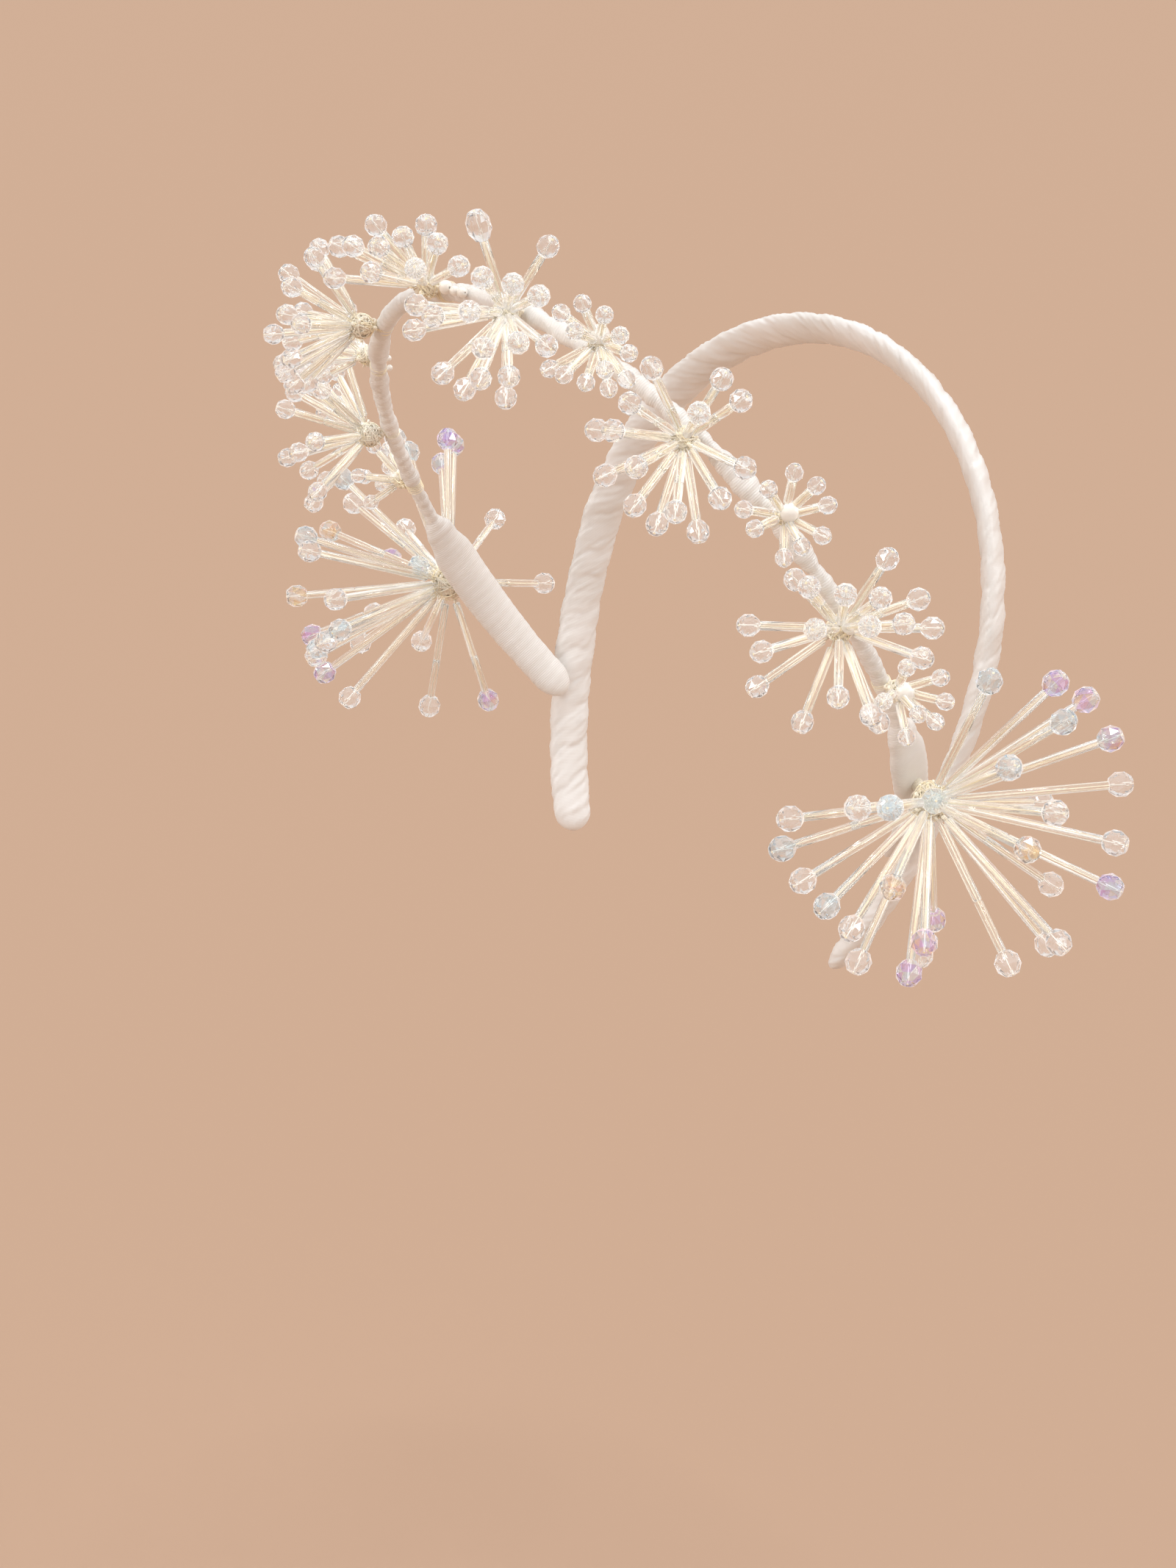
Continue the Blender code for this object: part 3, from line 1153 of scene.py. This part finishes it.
@dataclass(frozen=True)
class Templates:
    """Small shapes that are copied many times, each made once."""

    tube_radius: float = 1.0
    tube_rim: float = 0.18
    tube_sides: int = 10
    crystal_sides: int = 9
    crystal_bands: int = 5
    cut_share: float = 0.86
    crown_share: float = 0.9
    near_share: float = 0.01
    strand_tip: tuple[float, float] = (0.4, 0.6)
    ring_steps: int = 20
    wire_sides: int = 5
    seed_steps: int = 9
    seed_sides: int = 6
    seed_middle: float = 0.62
    seed_height: float = 0.55
    pearl_steps: int = 12
    pearl_hole: float = 0.14
    pearl_bore: float = 0.8

    @cache
    def tube(self, length: float) -> Mesh:
        """Make a glass tube with softened rims, from its foot at the origin up +Z.

        Args:
            length: Its length.

        Returns:
            The mesh.
        """
        inner = self.tube_radius - self.tube_rim
        profile = [
            (inner, 0),
            (self.tube_radius, self.tube_rim),
            (self.tube_radius, length - self.tube_rim),
            (inner, length),
        ]
        return as_mesh(spun(profile, self.tube_sides), "tube")

    @cache
    def crystal(self, radius: float, stretch: float) -> Mesh:
        """Make a round crystal cut in staggered bands of facets, with a flat table at each end of its axis.

        Args:
            radius: Its radius.
            stretch: Its length along the axis as a share of its width.

        Returns:
            The mesh, centred on the origin.
        """
        shape = bmesh.new()
        bmesh.ops.create_uvsphere(shape, u_segments=self.crystal_sides, v_segments=self.crystal_bands,
                                  radius=radius * MM)
        half_step = Matrix.Rotation(math.pi / self.crystal_sides, 3, "Z")
        for band in range(1, self.crystal_bands, 2):
            height = radius * MM * math.cos(math.pi * band / self.crystal_bands)
            ring = [vert for vert in shape.verts if abs(vert.co.z - height) < self.near_share * radius * MM]
            bmesh.ops.rotate(shape, verts=ring, cent=(0, 0, 0), matrix=half_step)
        table = self.cut_share * radius * MM
        for end in (1, -1):
            cut = bmesh.ops.bisect_plane(shape, geom=shape.verts[:] + shape.edges[:] + shape.faces[:],
                                         plane_co=(0, 0, end * table), plane_no=(0, 0, end), clear_outer=True)
            rim = [item for item in cut["geom_cut"] if isinstance(item, BMEdge)]
            bmesh.ops.holes_fill(shape, edges=rim, sides=self.crystal_sides)
        inside = (1 - self.near_share) * table
        girdle = [face for face in shape.faces if all(abs(vert.co.z) < inside for vert in face.verts)]
        bmesh.ops.triangulate(shape, faces=girdle, quad_method="SHORT_EDGE")
        bmesh.ops.scale(shape, vec=(1, 1, stretch * self.crown_share / self.cut_share), verts=shape.verts)
        bmesh.ops.recalc_face_normals(shape, faces=shape.faces)
        return as_mesh(shape, "crystal")

    @cache
    def strand(self, radius: float, length: float, sides: int) -> Mesh:
        """Make a straight strand from the origin up +Z, with closed ends.

        Args:
            radius: Its radius.
            length: Its length.
            sides: Facets round it.

        Returns:
            The mesh.
        """
        tip, rise = self.strand_tip
        profile = [(radius, 0), (radius, length), (radius * tip, length + radius * rise)]
        return as_mesh(spun(profile, sides), "strand")

    @cache
    def ring(self, radius: float, wire: float) -> Mesh:
        """Make a ring of wire round +Z, from its radius and the wire's."""
        profile = oval(radius, wire, wire, self.wire_sides)
        return as_mesh(spun(profile, self.ring_steps, closed=True), "ring")

    @cache
    def seed(self, radius: float) -> Mesh:
        """Make a round seed bead with its hole along +Z.

        Args:
            radius: Its radius.

        Returns:
            The mesh, centred on the origin.
        """
        middle = radius * self.seed_middle
        profile = oval(middle, radius - middle, radius * self.seed_height, self.seed_sides)
        return as_mesh(spun(profile, self.seed_steps, closed=True), "seed")

    @cache
    def pearl(self, radius: float) -> Mesh:
        """Make a drilled pearl, its hole along +Z.

        Args:
            radius: Its radius.

        Returns:
            The mesh, centred on the origin.
        """
        low = math.asin(self.pearl_hole)
        step = (math.pi - 2 * low) / self.pearl_steps
        arc = [math.pi / 2 - low - k * step for k in range(self.pearl_steps + 1)]
        profile = [(radius * math.cos(turn), radius * math.sin(turn)) for turn in arc]
        for end in (-1, 1):
            profile.append((radius * self.pearl_hole, end * radius * self.pearl_bore))
        return as_mesh(spun(profile, self.ring_steps, closed=True), "pearl")


@dataclass(frozen=True)
class Rod:
    """One rod of a burst: its way out from the hub, and its crystal's distance, size and coat."""

    direction: Vector
    length: float
    radius: float
    stretch: float
    reach: float
    coat: Coat


@dataclass
class Burst:
    """One cluster: a wound hub, glass tubes over strands on wired rods, cut crystals and perhaps a pearl.

    The fields named for shares of the hub are shares of its radius.
    """

    place: Place
    band: FrontBand
    templates: Templates
    finishes: Finishes
    tube_hub_share: float = 1.15
    tube_foot_spread: float = 0.9
    tube_least: float = 3.0
    tube_gap: float = 0.1
    tube_sharp_angle: float = 50.0
    joins: tuple[float, ...] = (0.38, 0.5, 0.6)
    join_half_gap: float = 0.12
    patch_fineness: float = 1.5
    patch_contrast: float = 0.45
    patch_step: float = 5.3
    ball_hub_share: float = 0.76
    ball_steps: int = 4
    ball_lumps: tuple[float, float] = (0.22, 0.1)
    lump_fineness: float = 3.5
    fine_lumps: float = 3.0
    thread_radius: float = 0.24
    thread_hub_shares: tuple[float, float] = (0.74, 0.86)
    post_hub_share: float = 0.3
    post_sides: int = 10
    strands: int = 3
    strand_sides: int = 5
    strand_spread: tuple[float, float] = (0.3, 0.68)
    strand_hub_share: float = 0.5
    strand_whiteness: tuple[float, float] = (0.0, 0.5)
    # Radius of the thick white strand that paints a streak of light along a tube.
    painted_streak_radius: float = 0.17
    bore_radius: float = 0.14
    bore_share: float = 0.94
    bore_sides: int = 6
    # The bore's whiteness: partly the frosted drilled hole, partly a painted glint of light inside the
    # crystal.
    bore_frost_and_painted_glint: float = 0.5
    wire_radius: float = 0.07
    wire_hub_share: float = 0.4
    turn_radius: float = 0.11
    turn_hub_shares: tuple[float, float] = (0.82, 0.94)
    stop_ring: tuple[float, float] = (0.2, 0.1)
    lashing_ring: tuple[float, float] = (1.0, 0.05)
    lashing_step: float = 0.5
    lashing_unevenness: float = 0.1
    lashing_gap: float = 0.3
    seed_radii: tuple[float, ...] = (0.55, 0.65, 0.75)
    seed_hub_shares: tuple[float, float] = (0.85, 1.05)

    def __post_init__(self) -> None:
        """Work out the hub's place and directions, and its rods."""
        self.form = self.place.form
        angle = self.place.angle
        flip = Matrix.Diagonal((self.place.side.value, 1, 1)).to_3x3()
        head = self.band.head_centre()
        self.seat = flip @ self.band.hoop.point(angle) + head
        self.hub = flip @ self.band.seat(angle, self.form.forward, self.form.hub_radius) + head
        self.out, self.along, self.forward = (flip @ axis for axis in self.band.hoop.axes(angle))
        self.rods = [rod for tier in self.form.tiers for rod in self.tier_rods(tier)]
        self.chance = random.Random(self.place.name)

    def tier_rods(self, tier: Tier) -> list[Rod]:
        """Aim the rods of a tier.

        Args:
            tier: The tier.

        Returns:
            Its rods.
        """
        lean = math.radians(tier.lean)
        radius = tier.crystal or self.form.crystal_radius
        reach = radius * self.templates.crown_share * tier.stretch
        rods = []
        for clock, coat in zip(tier.clocks, tier.coats or (CLEAR,) * len(tier.clocks)):
            turn = math.radians(clock)
            sideways = self.along * math.cos(turn) + self.forward * math.sin(turn)
            direction = self.out * math.cos(lean) + sideways * math.sin(lean)
            rods.append(Rod(direction, tier.length, radius, tier.stretch, reach, coat))
        return rods

    def any_way(self) -> Vector:
        """Pick a direction evenly from all round.

        Returns:
            The direction.
        """
        rise = self.chance.uniform(-1, 1)
        turn = self.chance.uniform(0, math.tau)
        level = math.sqrt(1 - rise ** 2)
        return Vector((level * math.cos(turn), level * math.sin(turn), rise))

    def put(self, shape: BMesh, template: Mesh, rod: Rod, distance: float,
            roll: float = 0.0) -> list[BMFace]:
        """Add a copy of a template on a rod.

        Args:
            shape: The bmesh that grows.
            template: The mesh to copy.
            rod: The rod.
            distance: Where on the rod, from the hub's centre.
            roll: Turn about the rod, in radians.

        Returns:
            The new faces.
        """
        place = self.hub + rod.direction * distance * MM
        return add_copy(shape, template, aimed(place, rod.direction, roll))

    def wind(self, shape: BMesh, turns: int, hub_shares: tuple[float, float], wire: float) -> None:
        """Wind turns of thread or wire round the hub, each at a slant of its own.

        Args:
            shape: The bmesh that grows.
            turns: How many turns.
            hub_shares: Least and greatest radius of a turn, as shares of the hub's.
            wire: The thread's or wire's radius.
        """
        for _ in range(turns):
            radius = round(self.form.hub_radius * self.chance.uniform(*hub_shares), 1)
            add_copy(shape, self.templates.ring(radius, wire), aimed(self.hub, self.any_way()))

    def finished(self, part: str, shape: BMesh, material: Material,
                 smooth: bool = True, shadow: bool = False) -> Object:
        """Finish one of the burst's pieces, as finish_piece says, for the burst's node."""
        node = self.place.name
        return finish_piece(f"{node}_{part}", node, shape, material, smooth, shadow)

    def build(self) -> list[Object]:
        """Model the burst.

        Returns:
            Its pieces.
        """
        pieces = [self.build_tubes(), *self.build_crystals(), self.build_thread(), self.build_strands()]
        pieces += [self.build_wire(), self.build_seeds()]
        if self.form.pearl_radius:
            pieces.append(self.build_pearl())
        return pieces

    def tube_spans(self, rod: Rod) -> list[tuple[float, float]]:
        """Share a rod out between its tubes.

        Args:
            rod: The rod.

        Returns:
            Foot and head of each tube from the hub's centre: none, one, or two tubes in line.
        """
        foot = self.form.hub_radius * self.tube_hub_share
        head = rod.length - rod.reach - self.tube_gap
        if head - foot < self.tube_least:
            return []
        foot += self.chance.uniform(0, self.tube_foot_spread)
        if self.chance.random() < self.form.joined_share:
            join = foot + (head - foot) * self.chance.choice(self.joins)
            return [(foot, join - self.join_half_gap), (join + self.join_half_gap, head)]
        return [(foot, head)]

    def build_tubes(self) -> Object:
        """Slip the glass tubes over the rods.

        Returns:
            The piece.
        """
        shape = bmesh.new()
        for rod in self.rods:
            for foot, head in self.tube_spans(rod):
                self.put(shape, self.templates.tube(round(head - foot, 1)), rod, foot)
        piece = self.finished("tubes", shape, self.finishes.tube)
        piece.data.set_sharp_from_angle(angle=math.radians(self.tube_sharp_angle))
        return piece

    def build_crystals(self) -> list[Object]:
        """Tip the rods with cut crystals, and stain the facets of the coated ones in patches.

        Returns:
            The clear crystals and the coated ones, as a piece each where the burst has any.
        """
        clear = bmesh.new()
        coated = bmesh.new()
        tint = coated.faces.layers.float.new("facet_tint")
        for number, rod in enumerate(self.rods):
            crystal = self.templates.crystal(rod.radius, rod.stretch)
            roll = self.chance.uniform(0, math.tau)
            if rod.coat is CLEAR:
                self.put(clear, crystal, rod, rod.length, roll)
                continue
            centre = self.hub + rod.direction * rod.length * MM
            for face in self.put(coated, crystal, rod, rod.length, roll):
                away = (face.calc_center_median() - centre) / (rod.radius * MM)
                patch = noise.noise(away * self.patch_fineness + Vector((self.patch_step * number, 0, 0)))
                face[tint] = rod.coat.tone(patch / self.patch_contrast)
        pieces = []
        if clear.faces:
            pieces.append(self.finished("crystals", clear, self.finishes.crystal, smooth=False))
        if coated.faces:
            pieces.append(self.finished("rainbow_crystals", coated, self.finishes.rainbow, smooth=False))
        return pieces

    def build_thread(self) -> Object:
        """Wind the hub's thread round a lumpy ball, and tie the ball down to the band with a post of thread.

        Returns:
            The piece.
        """
        shape = bmesh.new()
        ball = self.form.hub_radius * self.ball_hub_share
        bmesh.ops.create_icosphere(shape, subdivisions=self.ball_steps, radius=ball * MM)
        lumps, finer = self.ball_lumps
        for vert in shape.verts:
            place = vert.co.normalized() * self.lump_fineness + Vector((self.place.angle, 0, 0))
            vert.co *= 1 + lumps * noise.noise(place) + finer * noise.noise(place * self.fine_lumps)
        bmesh.ops.translate(shape, vec=self.hub, verts=shape.verts)
        self.wind(shape, self.form.thread_turns, self.thread_hub_shares, self.thread_radius)
        shank = self.seat - self.hub
        post = self.templates.strand(self.form.hub_radius * self.post_hub_share, round(shank.length / MM, 1),
                                     self.post_sides)
        add_copy(shape, post, aimed(self.hub, shank.normalized()))
        return self.finished("thread", shape, self.finishes.yarn, shadow=True)

    def build_strands(self) -> Object:
        """Lay the straight strands in each tube, from cream to white, with a thick white strand in some tubes
        that paints a streak of light, and the frosted bore of each crystal, whitened partly as a painted
        glint.

        Returns:
            The piece.
        """
        shape = bmesh.new()
        whiteness_and_painted_highlight = shape.faces.layers.float.new("whiteness_and_painted_highlight")
        start = self.form.hub_radius * self.strand_hub_share
        for rod in self.rods:
            across = rod.direction.orthogonal().normalized() * MM
            foot = self.hub + rod.direction * start * MM
            length = round(rod.length - rod.reach - start, 1)
            # A thick white strand in some tubes paints the bright streak of light that the glass focuses; it
            # stands for light, not for a whiter thread.
            has_painted_streak = self.chance.random() < self.form.painted_streak_share
            first = self.chance.uniform(0, math.tau)
            for k in range(self.strands):
                white = has_painted_streak and k == 0
                radius = self.painted_streak_radius if white else self.form.strand_radius
                turn = Matrix.Rotation(first + math.tau * k / self.strands, 3, rod.direction)
                offset = turn @ across * self.chance.uniform(*self.strand_spread)
                tone = 1.0 if white else self.chance.uniform(*self.strand_whiteness)
                strand = self.templates.strand(radius, length, self.strand_sides)
                for face in add_copy(shape, strand, aimed(foot + offset, rod.direction)):
                    face[whiteness_and_painted_highlight] = tone
            # The bore is partly the real frosted hole and partly a painted glint of light inside the crystal.
            half = rod.reach * self.bore_share
            bore = self.templates.strand(self.bore_radius, round(2 * half, 1), self.bore_sides)
            for face in self.put(shape, bore, rod, rod.length - half):
                face[whiteness_and_painted_highlight] = self.bore_frost_and_painted_glint
        return self.finished("strands", shape, self.finishes.strand)

    def lashings(self) -> list[Matrix]:
        """Fit turns of wire round the band beneath the hub.

        Returns:
            One pose for each turn, which fits a ring of one millimetre radius to the band's section.
        """
        width, thickness = self.band.size_at(self.place.angle)
        across = self.forward * (width / 2 + self.lashing_gap)
        high = self.out * (thickness / 2 + self.lashing_gap)
        if across.cross(high).dot(self.along) < 0:
            across = -across
        section = Matrix((across, high, self.along)).transposed().to_4x4()
        poses = []
        for k in range(self.form.lashing_turns):
            shift = (k - (self.form.lashing_turns - 1) / 2) * self.lashing_step
            shift += self.chance.uniform(-self.lashing_unevenness, self.lashing_unevenness)
            poses.append(Matrix.Translation(self.seat + self.along * shift * MM) @ section)
        return poses

    def build_wire(self) -> Object:
        """Wind wire round the band and the hub, and lead it through each rod to a small stop on its crystal.

        Returns:
            The piece.
        """
        shape = bmesh.new()
        for pose in self.lashings():
            add_copy(shape, self.templates.ring(*self.lashing_ring), pose)
        self.wind(shape, self.form.wire_turns, self.turn_hub_shares, self.turn_radius)
        foot = self.form.hub_radius * self.wire_hub_share
        for rod in self.rods:
            head = rod.length + rod.reach
            self.put(shape, self.templates.ring(*self.stop_ring), rod, head)
            wire = self.templates.strand(self.wire_radius, round(head - foot, 1), self.strand_sides)
            self.put(shape, wire, rod, foot)
        return self.finished("wire", shape, self.finishes.wire)

    def build_seeds(self) -> Object:
        """Sew seed beads round the hub between the feet of the tubes.

        Returns:
            The piece.
        """
        shape = bmesh.new()
        for _ in range(self.form.seeds):
            outward = self.any_way()
            out_by = self.chance.uniform(*self.seed_hub_shares)
            centre = self.hub + outward * self.form.hub_radius * out_by * MM
            seed = self.templates.seed(self.chance.choice(self.seed_radii))
            add_copy(shape, seed, aimed(centre, outward.orthogonal()))
        return self.finished("seeds", shape, self.finishes.seed)

    def build_pearl(self) -> Object:
        """Set the pearl on top of the hub.

        Returns:
            The piece.
        """
        shape = bmesh.new()
        centre = self.hub + self.out * self.form.hub_radius * MM
        add_copy(shape, self.templates.pearl(self.form.pearl_radius), aimed(centre, self.along))
        return self.finished("pearl", shape, self.finishes.pearl, shadow=True)


@dataclass(frozen=True)
class BandPearl:
    """A pearl on the front band: its name, the node it belongs to, its angle from the top and its radius.

    It sits in front of the band's middle by the distance forward, or behind it where that is negative.
    """

    name: str
    node: str
    angle: float
    radius: float
    forward: float = 2.6


@dataclass
class BandPearls:
    """The three pearls sewn to the front band, right of its middle, and two seed pearls behind a spray."""

    band: FrontBand
    templates: Templates
    finishes: Finishes
    pearls: tuple[BandPearl, ...] = (
        BandPearl("pearl_outer_drilled", "pearl_outer", -9.7, 1.6),
        BandPearl("pearl_middle_drilled", "pearl_middle", -7.6, 1.2),
        BandPearl("pearl_inner_drilled", "pearl_inner", -5.7, 1.2),
        BandPearl("seed_pearl_upper", "spray_upper_right", -56.0, 0.75, forward=-3.2),
        BandPearl("seed_pearl_lower", "spray_upper_right", -59.0, 0.75, forward=-3.4),
    )

    def build(self) -> list[Object]:
        """Model the pearls.

        Returns:
            One piece for each pearl.
        """
        pieces = []
        for pearl in self.pearls:
            shape = bmesh.new()
            centre = self.band.seat(pearl.angle, pearl.forward, pearl.radius) + self.band.head_centre()
            along = self.band.hoop.axes(pearl.angle)[1]
            add_copy(shape, self.templates.pearl(pearl.radius), aimed(centre, along))
            pieces.append(finish_piece(pearl.name, pearl.node, shape, self.finishes.pearl))
        return pieces


@dataclass(frozen=True)
class Light:
    """A broad, even studio light: its name, the way to it, its strength and how wide it looks."""

    name: str
    towards: tuple[float, float, float]
    strength: float
    spread: float


@dataclass
class Studio:
    """The pale floor, soft light and the camera at the photograph's angle. Lengths are in metres."""

    floor_height: float = -0.36
    floor_size: float = 12.0
    floor_colour: Colour = (0.46, 0.306, 0.216)
    horizon: Colour = (0.65, 0.43, 0.31)
    horizon_height: float = 0.04
    zenith: Colour = (0.86, 0.86, 0.86)
    zenith_height: float = 0.32
    camera_place: tuple[float, float, float] = (0.4871, -0.3872, 0.1806)
    azimuth: float = 49.75
    elevation: float = 25.35
    sensor_height_mm: float = 36.0
    lens_mm: float = 67.58
    view_from: float = 0.01
    view_to: float = 50.0
    lights: tuple[Light, ...] = (
        Light("top_light", (-0.04, 0.23, 0.97), 1.1, 16.0),
        Light("face_light", (-0.27, -0.82, 0.49), 0.63, 14.0),
        Light("back_light", (0.64, 0.57, 0.44), 0.63, 14.0),
    )

    def build(self) -> None:
        """Set the stage."""
        self.build_floor()
        self.build_sky()
        self.build_lights()
        self.build_camera()

    def build_floor(self) -> None:
        """Lay a plain pale floor."""
        material = bpy.data.materials.new("pale_floor")
        material.use_nodes = True
        look = {"Base Color": (*self.floor_colour, 1.0), "Roughness": 0.9, "Specular IOR Level": 0.1}
        set_inputs(material.node_tree.nodes["Principled BSDF"], look)
        shape = bmesh.new()
        bmesh.ops.create_grid(shape, x_segments=1, y_segments=1, size=self.floor_size / 2)
        bmesh.ops.translate(shape, vec=(0, 0, self.floor_height), verts=shape.verts)
        floor = add_object("floor", as_mesh(shape, "floor"))
        floor.data.materials.append(material)

    def build_sky(self) -> None:
        """Make an even surround, warm at the horizon and white overhead."""
        world = bpy.data.worlds.new("studio")
        world.use_nodes = True
        nodes = Nodes(world.node_tree)
        place = nodes.add("ShaderNodeTexCoord")
        split = nodes.add("ShaderNodeSeparateXYZ")
        heights = {"From Min": self.horizon_height, "From Max": self.zenith_height}
        rise = nodes.add("ShaderNodeMapRange", heights)
        blend = nodes.add("ShaderNodeMix", data_type="RGBA")
        set_inputs(blend, {MIX_A: (*self.horizon, 1.0), MIX_B: (*self.zenith, 1.0)})
        nodes.link(place.outputs["Generated"], split.inputs["Vector"])
        nodes.link(split.outputs["Z"], rise.inputs["Value"])
        nodes.link(rise.outputs["Result"], blend.inputs["Factor"])
        nodes.link(blend.outputs[MIX_RESULT], world.node_tree.nodes["Background"].inputs["Color"])
        bpy.context.scene.world = world

    def build_lights(self) -> None:
        """Hang broad soft lights, far enough away to be even over the floor."""
        for row in self.lights:
            data = bpy.data.lights.new(row.name, "SUN")
            data.energy = row.strength
            data.angle = math.radians(row.spread)
            light = add_object(row.name, data)
            light.rotation_euler = Vector(row.towards).to_track_quat("Z", "Y").to_euler()

    def build_camera(self) -> None:
        """Set the camera at the photograph's angle, for an upright frame."""
        azimuth = math.radians(self.azimuth)
        elevation = math.radians(self.elevation)
        right = Vector((math.cos(azimuth), math.sin(azimuth), 0))
        level = Vector((math.sin(azimuth), -math.cos(azimuth), 0))
        back = level * math.cos(elevation) + Vector((0, 0, math.sin(elevation)))
        data = bpy.data.cameras.new("camera")
        data.lens = self.lens_mm
        data.sensor_fit = "VERTICAL"
        data.sensor_height = self.sensor_height_mm
        data.clip_start = self.view_from
        data.clip_end = self.view_to
        camera = add_object("camera", data)
        turn = Matrix((right, back.cross(right), back)).transposed().to_4x4()
        camera.matrix_world = Matrix.Translation(self.camera_place) @ turn
        bpy.context.scene.camera = camera
        bpy.context.scene.view_settings.view_transform = "Standard"


def main() -> None:
    """Build every piece of the tiara and its studio, and report each piece."""
    logging.basicConfig(level=logging.INFO, format="%(name)s %(message)s")
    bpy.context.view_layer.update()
    finishes = Finishes()
    templates = Templates()
    front = FrontBand("front_band", FRONT, end_angle=134.0, rings=780, sides=28, wrap_pitch=2.6,
                      wrap_height=0.26, puff=0.12, crease=0.07)
    back = BackBand("back_band", BACK, end_angle=135.0, rings=760, sides=48, wrap_pitch=9.0,
                    wrap_height=0.22, puff=0.2, crease=0.26, starts=2, seed=2)
    centre = front.head_centre()
    pieces = [front.build(finishes.cord, centre), back.build(finishes.ribbon, centre)]
    for place in PLACES:
        pieces += Burst(place, front, templates, finishes).build()
    pieces += BandPearls(front, templates, finishes).build()
    for piece in pieces:
        LOG.info("%s: %d faces", piece.name, len(piece.data.polygons))
    Studio().build()


if __name__ == "__main__":
    main()
